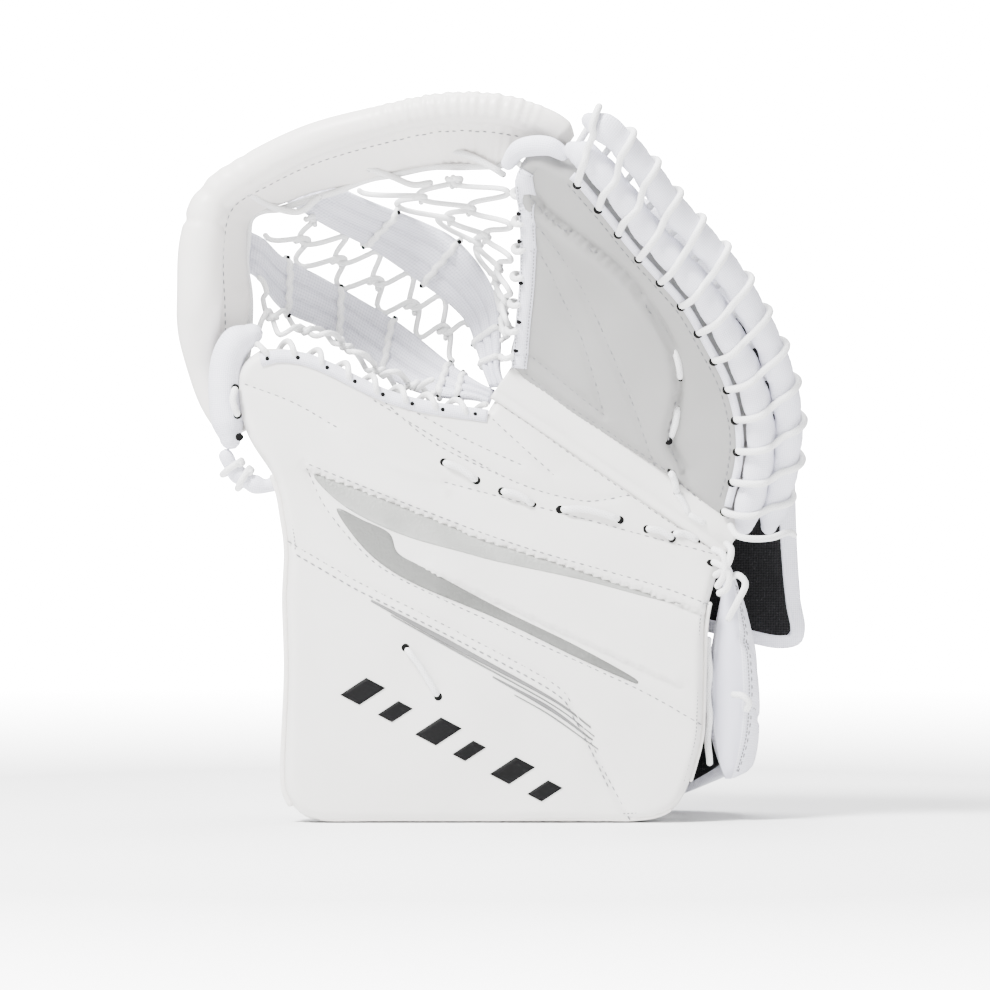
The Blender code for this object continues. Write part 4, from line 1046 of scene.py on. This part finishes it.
# ---- pocket straps and nets
pocketFacts = {
    "lowerTop": [(-149, 52, 331), (-134, 50, 325), (-122, 58, 314), (-102, 66, 304), (-81, 70, 292),
                 (-55, 68, 276), (-28, 50, 254),
                 (-12, 31, 243), (-3, 24, 238.5)],
    "lowerLow": [(-151, 54, 308), (-137, 50, 302), (-122, 57, 284), (-96, 66, 272), (-74, 64, 255),
                 (-53, 50, 240.5), (-34, 35, 235),
                 (-15, 25, 233), (-6, 20.5, 230.5)],
    "upperLow": [(-121, 45, 345), (-108, 42, 337), (-94, 46, 329), (-73, 58, 319), (-49, 66, 303),
                 (-30, 66, 289), (-18, 58, 276),
                 (-13, 44, 261), (-9, 28, 248), (-6, 20, 240)],
    "upperTop": [(-97, 36, 358), (-84, 32, 349), (-67, 40, 342), (-42, 54, 333), (-25, 56, 324),
                 (-11, 52, 308), (-2, 42, 289),
                 (0, 33, 268), (0, 25, 251), (3, 18, 241)],
    "thick": 2.6, "cord": 1.65,
    "nets": {
        "thumbNet": ([(-135, 34, 274), (-121, 19, 270), (-94, 17.5, 268.5), (-76, 17.5, 257), (-57, 19, 247),
                      (-38, 22, 243)],
                     [(-135, 46, 300), (-120, 56, 281), (-96, 65, 269), (-75, 63, 252), (-54, 46.5, 238),
                      (-39, 33, 236.5)], 2, 5.0, 0.0),
        "middleNet": ([(-26, 52, 257.2), (-54, 69.5, 277.6), (-80, 71, 294), (-101, 67, 305.4), (-120, 59, 316),
                       (-130, 50, 326.5)],
                      [(-18.6, 60, 274.4), (-31.5, 67.5, 288.5), (-49.6, 67.5, 302.2), (-73.7, 59.5, 317.8),
                       (-94, 47.5, 327), (-107, 41, 334)], 2, 5.0, 3.0),
        "fingerNet": ([(2.5, 33, 271), (-0.5, 42, 292), (-9, 52, 311), (-23, 56, 327.5), (-41, 54, 336.5),
                       (-65, 40.5, 345.5), (-77, 32, 350)],
                      [(3.2, 14, 268), (4.6, 1, 288), (5, -10, 310), (4.2, -23, 334), (1.5, -32, 354)], 3, 5.0,
                      6.0)},
}


def ridged(lowRail, topRail, ridges=3, thick=2.6, count=110):
    low, top = even(smooth(lowRail), count), even(smooth(topRail), count)
    f = np.linspace(0, 1, 8 * ridges + 1)
    t = tangentsOf((low + top) / 2)
    up = np.cross(t, top - low)
    up = unit(up)
    up *= np.where(up[:, 1:2] > 0, -1, 1)
    high = thick / 2 * (0.2 + 1.5 * np.abs(np.sin(np.pi * ridges * f)) ** 0.55)
    high[0] = high[-1] = thick * 0.15
    body = low[:, None] + (top - low)[:, None] * f[None, :, None]
    front = body + up[:, None] * high[None, :, None]
    rear = body[:, ::-1] - up[:, None] * (thick / 2 * 0.8)
    return np.concatenate([front, rear], 1), low, top, up


lowerRings, lowerLow, lowerTop, lowerUp = ridged(pocketFacts["lowerLow"], pocketFacts["lowerTop"])
upperRings, upperLow, upperTop, upperUp = ridged(pocketFacts["upperLow"], pocketFacts["upperTop"])
keep(pieceOf("lowerStrap", skin(lowerRings), "webbing"), "palm_body", "white_nylon", "pocket_strap_lower")
keep(pieceOf("upperStrap", skin(upperRings), "webbing"), "finger_body", "white_nylon", "pocket_strap_upper")


def netCords(railA, railB, rows, cells, sag, radius):
    a, b = even(smooth(railA), 240), even(smooth(railB), 240)
    parts, knots = [], []

    def spot(s, t):
        k = np.clip(s, 0, 1) * 239
        i = np.minimum(k.astype(int), 238)
        f = (k - i)[:, None]
        pa, pb = a[i] * (1 - f) + a[i + 1] * f, b[i] * (1 - f) + b[i + 1] * f
        p = pa + (pb - pa) * t[:, None]
        p[:, 1] += sag * np.sin(np.pi * np.clip(t, 0, 1)) * np.sin(np.pi * np.clip(s, 0, 1))
        return p, np.linalg.norm(pb - pa, axis=1)

    s = np.linspace(0, 1, int(cells * 44))
    for j in range(rows):
        phase = 2 * np.pi * cells * s + (np.pi if j % 2 else 0.0)
        wave = -np.cos(phase)
        wave = np.sign(wave) * (1 - (1 - np.abs(wave)) ** 1.35)
        _, width = spot(s, np.zeros_like(s))
        extra = 0.9 * radius * 1.3 / np.maximum(width / rows, 4.0)
        t = (j + 0.5 + (0.5 + extra) * wave) / rows
        p, _ = spot(s, t)
        q, _ = spot(s, t + 0.01)
        tangent = tangentsOf(p)
        up = np.cross(tangent, q - p)
        up /= np.maximum(np.linalg.norm(up, axis=1, keepdims=True), 1e-9)
        k = (s * 239).astype(int)
        up *= np.sign(np.sum(up * np.cross(tangentsOf(a)[k], (b - a)[k]), 1))[:, None]
        line = p + up * (radius * 1.05 * np.sin(phase))[:, None]
        parts.append(rounded(even(line, step=1.1), radius, 8))
        for c in range(int(cells) + 1):
            if 0 < j:
                k = np.argmin(np.abs(s - c / cells)) if j % 2 == 0 else np.argmin(np.abs(s - (c + 0.5) / cells))
                knots.append((p[min(k, len(p) - 1)], tangent[min(k, len(p) - 1)]))
    return parts, knots


netBodies = {"thumbNet": ("palm_body", "net_thumb"), "middleNet": (None, "net_middle"),
             "fingerNet": ("finger_body", "net_finger")}
for name, (railA, railB, rows, cells, sag) in pocketFacts["nets"].items():
    parts, knots = netCords(railA, railB, rows, cells, sag, pocketFacts["cord"])
    for p, t in knots:
        side = np.cross(t, (0, 1, 0))
        side = unit(side)
        turn = np.linspace(0, 2.2 * np.pi, 24)
        coil = (p + t * np.linspace(-3.4, 3.4, 24)[:, None] + side * (2.0 * np.cos(turn))[:, None]
                + np.array([0, 1, 0]) * (2.1 * np.sin(turn))[:, None])
        parts.append(rounded(coil, 1.5, 8))
    body, stands = netBodies[name]
    net = keep(pieceOf(name, parts, "cord"), body, "white_cord", stands)
    if body is None:
        blended.append((net, -3.0, 24.0))


def strapCrossings(low, top, up, spots, lift=2.6):
    parts, ends = [], []
    n = len(low) - 1
    for s0, s1, f0, f1 in spots:
        f = np.linspace(f0, f1, 26)
        k = np.clip(np.linspace(s0, s1, 26) * n, 0, n).astype(int)
        p = low[k] + (top[k] - low[k]) * f[:, None]
        w = np.linspace(0, 1, 26)
        high = lift * (1 - 1.6 * (bell(w, 0.07) + bell(1 - w, 0.07)))
        parts.append(rounded(even(p + up[k] * high[:, None], step=1.2), 1.9, 10))
        ends += [p[0] + up[k[0]] * 1.3, p[-1] + up[k[-1]] * 1.3]
    return parts, ends


lowerSpots = [(0.20, 0.24, 1.04, -0.04), (0.38, 0.42, 1.03, -0.04), (0.56, 0.60, 1.03, -0.04),
              (0.80, 0.83, 1.0, 0.0), (0.87, 0.90, 1.0, 0.0)]
upperSpots = [(0.26, 0.30, 1.03, -0.03), (0.48, 0.52, 1.02, -0.03), (0.80, 0.80, 1.04, -0.04),
              (0.90, 0.90, 1.04, -0.04)]
lowerParts, lowerEnds = strapCrossings(lowerLow, lowerTop, lowerUp, lowerSpots)
upperParts, upperEnds = strapCrossings(upperLow, upperTop, upperUp, upperSpots)
keep(pieceOf("lowerStrapLaces", lowerParts, "cord"), "palm_body", "white_cord")
keep(pieceOf("upperStrapLaces", upperParts, "cord"), "finger_body", "white_cord")
keep(eyelets("lowerStrapHoles", lowerEnds, 0, 1.3), "palm_body")
keep(eyelets("upperStrapHoles", upperEnds, 0, 1.3), "finger_body")

# laces round the rim of the thumb plate and down the pocket edge of the finger plate
rimTrimLine = [(-132, 254), (-121, 256.5), (-107, 254.5), (-93, 249), (-79, 242), (-61, 234), (-40, 228.3),
               (-18, 225), (-7, 223.5)]
keep(pieceOf("palmTrim", thinStrip(path(rimTrimLine, 9.0), 7.0, onPalm, 0.7), "nylon"),
     "palm_body", "white_nylon")
rim2d = [(-134, 259), (-121, 261.5), (-107, 259), (-93, 253.3), (-79, 246.4), (-61, 238.4), (-40, 232.8),
         (-18, 229.4), (-7, 228)]


def whip(line, outward3, turns, reach, deep, radius, step=1.3):
    angle = 2 * np.pi * turns * np.linspace(0, 1, len(line))
    t = tangentsOf(line)
    rise = unit(np.cross(t, outward3))
    wound = line + outward3 * (reach * np.cos(angle))[:, None] + rise * (deep * np.sin(angle))[:, None]
    return rounded(even(wound, step=step), radius, 10)


def rimWhip(points, surface, turns, into, depthAt, deep):
    flat = path(points, 0.8)
    line = over(surface, flat, depthAt)
    t = tangentsOf(line)
    out = unit(sideOf(t))
    return whip(line, out, turns, into, deep, 1.8)


keep(pieceOf("thumbRimLace", rimWhip(rim2d, palmDepth, 8, 4.6, 9.3, 11.6), "cord"), "palm_body", "white_cord",
     "pocket_lace_thumb")
edge2d = [(2.6, 253), (5.9, 271), (8.1, 295), (8.7, 319), (7.9, 338), (6.3, 354)]
keep(pieceOf("fingerRimLace", rimWhip(edge2d, fingerDepth, 7, 4.2, 9.3, 11.4), "cord"), "finger_body", "white_cord",
     "pocket_lace_finger")
palmDots = path(rimTrimLine, 1.0)
palmDots = palmDots[np.linspace(4, len(palmDots) - 8, 8).astype(int)]
keep(eyelets("palmTrimHoles", onPalm(palmDots, 0.7, dense=False), 0, 1.2),
     "palm_body")
fingerDots = [(12, 352), (11, 334), (11, 319), (12, 297), (11, 276), (9, 260)]
keep(eyelets("pocketTrimHoles", onFinger(fingerDots, 0.8, dense=False), 0.3, 1.5),
     "finger_body")

# ---- thumb binding
thumbFacts = {"edge": [(-137.5, 269), (-146.8, 263), (-151.6, 250), (-151.8, 230), (-149.2, 212)],
              "tail": [(-151.5, 201.5), (-147, 193.5), (-139, 187.5), (-131, 185), (-123.5, 186.5)]}
edgeLine = over(palmDepth, path(thumbFacts["edge"], 1.5), 9.0)
edgeShare = np.linspace(0, 1, len(edgeLine))
edgeRadius = 10.6 * np.sqrt(0.45 + 0.55 * np.clip(np.sin(np.pi * edgeShare) * 2.5, 0, 1))
keep(pieceOf("thumbBinding", rounded(edgeLine, edgeRadius, 22, flat=0.86), "nylon"), "palm_body",
     "white_nylon", "thumb_binding", fill=0.9)
tailLine = over(palmDepth, path(thumbFacts["tail"], 1.2), 9.6)
tailShare = np.linspace(0, 1, len(tailLine))
tailRadius = 5.0 * (1 + 0.10 * np.cos(2 * np.pi * 3 * tailShare)) * np.sqrt(0.55 + 0.45 * np.sin(np.pi * tailShare))
keep(pieceOf("thumbTail", rounded(tailLine, tailRadius, 18), "nylon"), "palm_body", "white_nylon",
     "thumb_binding_tail", fill=0.85)
tailMid = even(tailLine, 120)[12:100]
tailOut = sideOf(tangentsOf(tailMid))
tieParts = [whip(tailMid[k:k + 8], tailOut[k:k + 8], 1.12, 6.5, 6.5, 1.9, 1.0) for k in (10, 40)]
tieParts.append(crossOver([(-145.8, -2.2, 239), (-147.0, -3.2, 232), (-144.5, -2.6, 224)]))
keep(pieceOf("thumbTie", tieParts, "cord"), "palm_body", "white_cord", "thumb_tie_lace")
keep(eyelets("thumbHoles", [(-145.8, -1.2, 239), (-144.5, -1.2, 224), (-143.5, -0.6, 212)], 0,
     2.3), "palm_body")
print("perimeter and pocket made")


# ---- hand compartment
handFacts = {
    "backhand": [(113, 308), (132, 287), (148, 267), (157, 246), (161, 224), (163, 192), (166, 150), (169, 121),
                 (172, 104), (169, 95), (158, 92.5), (143, 95), (120, 101), (90, 107), (60, 116), (38, 133),
                 (26, 163), (21, 200), (19, 240), (20, 290), (27, 322), (48, 340), (75, 338), (97, 324)],
    "left": 10.0, "channel": 29.0, "front": 19.5, "back": 45.2, "pad": 18.0,
    "thumb": [(-4, -16), (40, -23), (100, -21), (124, -11), (130, 0), (124, 11), (100, 21), (40, 23), (-4, 16)],
    "thumbFrom": (-24, 122), "thumbTo": (-110, 212),
}


def padRelief(lines, depth=2.2, width=2.0, puff=2.4):
    tracks = [path(points, 3.0) for points in lines]

    def relief(flat):
        far = np.full(len(flat), 60.0)
        height = np.zeros(len(flat))
        for track in tracks:
            d, _ = nearest(flat, track)
            height -= depth * bell(d, width)
            far = np.minimum(far, d)
        x, z = flat[:, 0], flat[:, 1]
        return height + puff * (1 - np.exp(-far / 11)) + 0.4 * np.sin(x / 13 + z / 19) - puff
    return relief


backLines = [[(24, 205), (90, 172), (160, 128)], [(28, 262), (95, 228), (160, 190)], [(60, 120), (100, 108),
              (150, 99)]]
keep(sheetOver("backhandPad", handFacts["backhand"], backDepth, padRelief(backLines), "nylon", 3.0, 7.0, 18.0,
     2.6, 2.0, 8.0), "finger_body", "white_nylon", "backhand_pad", fill=0.75)
backLiningOutline = [tuple(p) for p in inset(outlineOf(handFacts["backhand"], 6.0), 8.0)]
keep(sheetOver("backhandLining", backLiningOutline, backDepth, padRelief(backLines, 0.8, 2.5, 0.6),
     "blackMesh", 4.0, 1.0, 0.0, 2.6, 0.4, 9.0), "finger_body", "black_lining", "backhand_lining")
backRows = [lifted(backDepth, path(line, 1.5)[:, 0], path(line, 1.5)[:, 1], 15.4) for line in backLines]
rimFlat = inset(outlineOf(handFacts["backhand"], 3.0), 5.2)
backRows.append(over(backDepth, rimFlat, 17.4))
keep(stitches("backhandThread", backRows, 4.2, 0.45, 1.3), "finger_body")
lipFlat = inset(outlineOf(handFacts["backhand"], 3.0), 7.2)
lipLine = over(backDepth, lipFlat, 2.4)
lipLine = np.vstack([lipLine, lipLine[:1]])
keep(pieceOf("backhandLip", skin(tubeRings(lipLine, 1.5, 8)), "nylon"), "finger_body", "white_nylon")


def fingerRoom(x, share):
    cx, cz = glove["across"]
    low = glove["heel"][2] + (18.0 - x * cx) / cz
    high = glove["heel"][2] + 73.0 - 0.0075 * max(0.0, x - 30.0) ** 2
    return low + (high - low) * share


def sleeveSection(inner):
    left, w = handFacts["left"], handFacts["channel"]
    front, back = handFacts["front"], handFacts["back"]
    xs, ys = [left + inner], [front]
    for k in range(4):
        for a in np.linspace(0, 1, 9)[(0 if k == 0 else 1):]:
            xs.append(left + k * w + a * w - inner * (2 * (k + a) / 4 - 1))
            ys.append(back - inner - 2.6 * (1 - math.sin(math.pi * a) ** 0.6))
    xs.append(left + 4 * w - inner)
    ys.append(front)
    return list(zip(xs, ys))


def sweptUp(points, rings=14):
    made = []
    for k in range(rings):
        share = k / (rings - 1)
        made.append([lifted(fingerDepth, np.array([x]), np.array([fingerRoom(x, share)]), np.array([off]))[0]
                     for x, off in points])
    return skin(np.array(made))


keep(pieceOf("fingerSleeve", sweptUp(sleeveSection(0.0) + sleeveSection(2.0)[::-1]), "blackMesh"),
     "finger_body", "black_lining", "finger_sleeve")
walls = []
for k in (1, 2, 3):
    x = handFacts["left"] + k * handFacts["channel"]
    thin = [(x - 0.8, handFacts["front"]), (x - 0.7, 30), (x - 0.8, handFacts["back"] - 4.2),
            (x + 0.8, handFacts["back"] - 4.2), (x + 0.7, 30), (x + 0.8, handFacts["front"])]
    walls.append(sweptUp(thin))
keep(pieceOf("fingerDividers", walls, "blackMesh"), "finger_body", "black_lining", "finger_divider_1",
     "finger_divider_2", "finger_divider_3")

thumbBase, thumbTip = np.array(handFacts["thumbFrom"], float), np.array(handFacts["thumbTo"], float)
thumbWay = (thumbTip - thumbBase) / np.linalg.norm(thumbTip - thumbBase)
thumbSide = np.array([thumbWay[1], -thumbWay[0]])
thumbOutline = [tuple(thumbBase + thumbWay * a + thumbSide * s) for a, s in handFacts["thumb"]]
thumbLines = [[tuple(thumbBase + thumbWay * a + thumbSide * s) for s in (-26, 0, 26)] for a in (32, 66, 98)]
keep(sheetOver("thumbPad", thumbOutline, flatDepth, padRelief(thumbLines, 2.0, 2.0, 2.0), "nylon", 2.6, 6.0,
     58.6, 45.0, 2.0, 7.0), "palm_body", "white_nylon", "thumb_back_pad", fill=0.75)


def thumbChannel():
    half, near, deep = 19.0, 19.0, 44.6
    a = np.linspace(0, 1, 15)
    outerX = -np.cos(np.pi * a) * (half + 2)
    outerY = deep - 4.0 * (np.abs(np.cos(np.pi * a)) ** 6)
    section = [(-half - 2, near)] + list(zip(outerX, outerY)) + [(half + 2, near), (half, near)]
    section += list(zip(-outerX * half / (half + 2), outerY - 2.2)) + [(-half, near)]
    length = np.linalg.norm(thumbTip - thumbBase)
    rings = []
    for k in range(12):
        p = thumbBase + thumbWay * length * k / 11
        rings.append([(p[0] + thumbSide[0] * s, y, p[1] + thumbSide[1] * s) for s, y in section])
    return skin(np.array(rings))


keep(pieceOf("thumbSleeve", thumbChannel(), "blackMesh"), "palm_body", "black_lining", "thumb_sleeve")

# ---- wrist guard, straps and patches
guardFacts = {"x": 115.5, "y": 99.1, "thick": 17.0,
              "rail": [(126.3, 10, 23, 136), (131, 26, 24, 124), (135.5, 46, 25, 101), (131, 78, 22, 82),
                       (107, 95.1, 10, 83), (80, 99.1, 0, 84), (40, 99.1, 0, 84), (0, 99.1, 0, 83)]}


def guardPad():
    rail = even(smooth(guardFacts["rail"]), 130)
    centre = rail[:, :2]
    t = tangentsOf(centre)
    out = np.stack([t[:, 1], -t[:, 0]], -1)
    f = np.linspace(0, 1, 26)
    run = np.linspace(0, 1, len(rail))
    rings, inner = [], []
    for i in range(len(rail)):
        low, high = max(0.0, rail[i, 2]), rail[i, 3]
        z = low + (high - low) * f
        half = guardFacts["thick"] / 2
        leaf = 1 + math.exp(-(i / 22.0) ** 2) * (1.05 * np.sin(np.pi * f ** 0.8) ** 1.3 - 0.35)
        quilt = sum(np.exp(-((z - q * (high - low) - low) / 2.2) ** 2) for q in (0.36, 0.68))
        edge = np.sqrt(np.clip(1 - (np.abs(2 * f - 1)) ** 5, 0, 1))
        puff = leaf * half * (0.42 + 0.58 * edge) - 1.7 * quilt * edge + 0.35 * np.sin(run[i] * 60 + f * 9) * edge
        closing = math.sqrt(min(1.0, 0.35 + min(i, len(rail) - 1 - i) / 7.0))
        flat = leaf * half * (0.55 + 0.45 * edge) * closing
        outside, inside3 = (np.column_stack([centre[i] + out[i] * r[:, None], z]) for r in (puff * closing, -flat))
        rings.append(np.vstack([outside, inside3[::-1]]))
        inner.append((centre[i] - out[i] * (half + 1.4), low, high))
    return np.array(rings), inner


guardRings, guardInner = guardPad()
keep(pieceOf("wristGuard", skin(guardRings), "nylon"), "guard_body", "white_nylon", "wrist_guard_pad", fill=0.8)
liningRings = []
for c, low, high in guardInner[20:]:
    z = np.linspace(low + 4, high - 4, 9)
    liningRings.append(np.stack([np.full(9, c[0]), np.full(9, c[1]), z], -1))
liningRings = np.array(liningRings)
tLining = tangentsOf(liningRings[:, 4])
nLining = np.stack([-tLining[:, 1], tLining[:, 0], np.zeros(len(tLining))], -1)
nLining = nLining[:, None] * 0.9
liningBody = np.concatenate([liningRings + nLining, (liningRings - nLining)[:, ::-1]], 1)
keep(pieceOf("wristGuardLining", skin(liningBody), "blackMesh"), "guard_body", "black_lining",
     "wrist_guard_lining")
topTrack = np.array([(p[0], p[1], high + 2.4) for p, (_, _, high) in
                     zip(even(smooth(guardFacts["rail"]), 130)[:, :2], guardInner)])
keep(pieceOf("wristGuardBinding", rounded(even(topTrack, step=2.0), 2.1, 10), "nylon"), "guard_body",
     "white_nylon", "wrist_guard_binding")
quiltRows = []
for q in (0.36, 0.68):
    k = int(round(q * 25))
    quiltRows.append(guardRings[4:-4, k])
guardEdgeRow = guardRings[3, 1:25]
keep(stitches("wristGuardThread", quiltRows + [guardEdgeRow], 4.2, 0.45, 1.3), "guard_body")
keep(stitches("wristGuardBlanket", [guardRings[2, 1:25] + (0, -0.4, 0)], 2.0, 0.35, 0.8), "guard_body")


def strapAlong(centre, low, high, thick, ridges=0, count=60):
    line = even(smooth(centre), count)
    t = tangentsOf(line)
    out = np.stack([t[:, 1], -t[:, 0], np.zeros(len(t))], -1)
    f = np.linspace(0, 1, 19)
    z = low + (high - low) * f
    body = np.minimum(1.0, np.minimum(f, 1 - f) / 0.06) ** 0.5
    half = thick / 2 * (0.25 + 0.75 * body)
    if ridges:
        half = half * (0.86 + 0.14 * np.cos(2 * np.pi * ridges * f))
    rings = []
    for p, n in zip(line, out):
        one = np.stack([np.full(19, p[0]), np.full(19, p[1]), z], -1)
        rings.append(np.vstack([one + n * half[:, None], (one - n * half[:, None])[::-1]]))
    return skin(np.array(rings))


strapOutside = guardFacts["y"] + guardFacts["thick"] / 2
tab = 18.6 + 0.3 + 1.5 + 0.3 + 1.4 + 0.3 + 1.2
strapPath = [(1, strapOutside + 2.0, 0), (-24, strapOutside - 3, 0), (-50, strapOutside - 24, 0), (-64, 56, 0),
             (-70, 36, 0), (-79, tab + 1.4, 0), (-89, tab, 0), (-97, tab, 0), (-106, tab, 0)]
keep(pieceOf("wristStrap", strapAlong(strapPath, 28, 62, 2.4, 3, 90), "webbing"), "wrist_strap_body",
     "white_nylon", "wrist_strap")
keep(pieceOf("wristStrapHook", strapAlong([(-90, tab - 2.2, 0), (-105, tab - 2.2, 0)], 30, 60, 1.4),
     "hookTape"), "wrist_strap_body", "black_hook", "wrist_strap_hook")
keep(pieceOf("wristStrapAnchor", strapAlong([(52, strapOutside + 1.6, 0), (28, strapOutside + 1.6, 0), (4,
     strapOutside + 1.6, 0)], 28, 62, 2.4, 3, 30), "webbing"), "guard_body", "white_nylon",
     "wrist_strap_anchor")
keep(pieceOf("wristLoopPatch", strapAlong([(-76, 19.65, 0), (-111, 19.65, 0)], 28, 62, 1.5), "hookTape"),
     "palm_body", "black_hook", "wrist_loop_patch")
anchorBox = [(x, strapOutside + 2.9, z) for x, z in ((50, 30), (8, 30), (8, 60), (50, 60), (50, 30))]
keep(stitches("wristAnchorThread", [even(np.array(anchorBox, float), step=2.0)], 3.2, 0.4, 1.1), "guard_body")


def backBar(u0, u1, low, high, wide, ridges=0, count=40):
    us = np.linspace(u0, u1, count)
    f = np.linspace(0, 1, 15)
    body = np.minimum(1.0, np.minimum(f, 1 - f) / 0.07) ** 0.5
    mid, half = (low + high) / 2, (high - low) / 2 * (0.25 + 0.75 * body)
    if ridges:
        half = half * (0.86 + 0.14 * np.cos(2 * np.pi * ridges * f))
    rings = []
    for u in us:
        p = alongXz(np.full(15, u), -21 - wide + 2 * wide * f)
        a = over(backDepth, p, mid + half)
        b = over(backDepth, p[::-1], (mid - half)[::-1])
        rings.append(np.vstack([a, b]))
    return skin(np.array(rings))


topOfPad = handFacts["pad"] + 0.3
keep(pieceOf("handStrapAnchor", backBar(-166, -150, topOfPad, topOfPad + 3.3, 14, 2, 14), "webbing"),
     "finger_body", "white_nylon", "hand_strap_anchor")
keep(pieceOf("handLoopPatch", backBar(-110, -70, topOfPad, topOfPad + 1.4, 14), "hookTape"), "finger_body",
     "black_hook", "hand_loop_patch")
keep(pieceOf("handStrapHook", backBar(-106, -68, topOfPad + 1.7, topOfPad + 3.3, 12), "hookTape"),
     "hand_strap_body", "black_hook", "hand_strap_hook")
keep(pieceOf("handStrap", backBar(-164, -66, topOfPad + 3.6, topOfPad + 6.0, 14, 3, 60), "webbing"),
     "hand_strap_body", "white_nylon", "hand_strap")

hinge = np.array([(guardFacts["x"] + 0.5 * math.sin(z / 4), 11.3 + 1.2 * math.cos(z / 4), z)
                  for z in np.linspace(32, 100, 60)])
keep(pieceOf("guardHingeLace", rounded(hinge, 1.9, 10), "cord"), "palm_body", "white_cord", "guard_hinge_lace")
loopTrack = [(126, 2, 112), (131, -3.5, 122), (135, -4, 131), (131, -3, 136), (127, 1, 134)]
knotTrack = [(129, 1, 70), (133.5, -3.2, 69.5), (137, -3, 66), (136, 0, 62)]
keep(pieceOf("guardLace", [lace(loopTrack), lace(knotTrack)],
     "cord"), "guard_body", "white_cord")
endTracks = [[(127, 3, 163), (130, -7, 158), (138, -10, 156), (149, -7, 156.5), (159, 2, 159.5), (163, 14, 158)],
             [(118, -1, 143), (122, -4.5, 141), (126, -5, 136), (125, -3, 129), (121, 0, 126)],
             [(118, 1, 150), (122, -5, 148), (124, -6, 142), (123, -4, 135), (120, 0, 130)],
             [(125, 1, 153), (127, -5, 150), (126, -6, 144), (123, -4, 139), (119, 1, 136)]]
keep(pieceOf("endLace", lace(endTracks[0]), "cord"),
     "finger_body", "white_cord")
keep(pieceOf("knotLace", [lace(points, 1.95) for points in endTracks[1:]], "cord"),
     "palm_body", "white_cord")
keep(eyelets("endHoles", onPalm([(120, 150), (116, 142)], 0.2, dense=False), 0, 2.2),
     "palm_body")
print("compartment and wrist made")

# ---- bodies, floor, light and camera
for piece, low, high in blended:
    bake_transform(piece)

stageMat = bpy.data.materials.new("studioWhite")
stageMat.use_nodes = True
stageShader = stageMat.node_tree.nodes["Principled BSDF"]
stageShader.inputs["Base Color"].default_value = (0.96, 0.96, 0.96, 1.0)
stageShader.inputs["Roughness"].default_value = 0.9
# the floor fades into the white round it, so that it has no edge from any side
studio = {"white": 24.0, "sky": 0.9, "near": 0.5, "far": 2.4}
floorTree = stageMat.node_tree
reach = node(floorTree, "ShaderNodeVectorMath", operation="LENGTH")
wire(node(floorTree, "ShaderNodeTexCoord").outputs["Object"], reach.inputs[0])
fade = node(floorTree, "ShaderNodeMapRange")
for key, value in (("From Min", studio["near"]), ("From Max", studio["far"])):
    fade.inputs[key].default_value = value
wire(reach.outputs["Value"], fade.inputs["Value"])
seen = node(floorTree, "ShaderNodeLightPath").outputs["Is Camera Ray"]
glow = node(floorTree, "ShaderNodeEmission", Strength=studio["white"])
blendIn = node(floorTree, "ShaderNodeMixShader")
wire(math2(floorTree, "MULTIPLY", fade.outputs[0], seen), blendIn.inputs[0])
wire(stageShader.outputs[0], blendIn.inputs[1])
wire(glow.outputs[0], blendIn.inputs[2])
wire(blendIn.outputs[0], floorTree.nodes["Material Output"].inputs["Surface"])
floorHalf, floorDrop = 30.0, 0.0008
stageVerts = [(x * floorHalf, y * floorHalf, -floorDrop) for x, y in ((-1, -1), (1, -1), (1, 1), (-1, 1))]
stageFaces = [(0, 1, 2, 3)]
stageMesh = bpy.data.meshes.new("studioFloor")
stageMesh.from_pydata(stageVerts, [], stageFaces)
stageMesh.shade_smooth()
stageMesh.materials.append(stageMat)
floor = bpy.data.objects.new("studioFloor", stageMesh)
bpy.context.scene.collection.objects.link(floor)


def softLight(name, spot, aim, size, power):
    light = bpy.data.lights.new(name, "AREA")
    light.shape, light.size, light.energy = "SQUARE", size, power
    lamp = bpy.data.objects.new(name, light)
    lamp.location = spot
    lamp.rotation_euler = (Vector(aim) - Vector(spot)).to_track_quat("-Z", "Y").to_euler()
    bpy.context.scene.collection.objects.link(lamp)


softLight("keyLight", (-0.85, -0.9, 1.7), (0.0, 0.0, 0.2), 0.5, 165)
softLight("fillLight", (1.5, -1.6, 1.0), (0.0, 0.0, 0.2), 1.2, 16)
softLight("topLight", (0.1, 0.35, 1.9), (0.0, 0.1, 0.1), 1.0, 60)
world = bpy.data.worlds.new("studio")
bpy.context.scene.world = world
world.use_nodes = True
sky = world.node_tree.nodes["Background"]
sky.inputs[0].default_value = (1.0, 1.0, 1.0, 1.0)
skyTree = world.node_tree
seen = node(skyTree, "ShaderNodeLightPath").outputs["Is Camera Ray"]
wire(math2(skyTree, "ADD", math2(skyTree, "MULTIPLY", seen, studio["white"]), studio["sky"]), sky.inputs[1])

camera = bpy.data.cameras.new("camera")
camera.lens, camera.sensor_width = 165.0, 36.0
eye = bpy.data.objects.new("camera", camera)
eye.location = place([(-2.75, -2500.0, 180.0)])[0].tolist()
eye.rotation_euler = (math.radians(90), 0.0, 0.0)
bpy.context.scene.collection.objects.link(eye)
bpy.context.scene.camera = eye
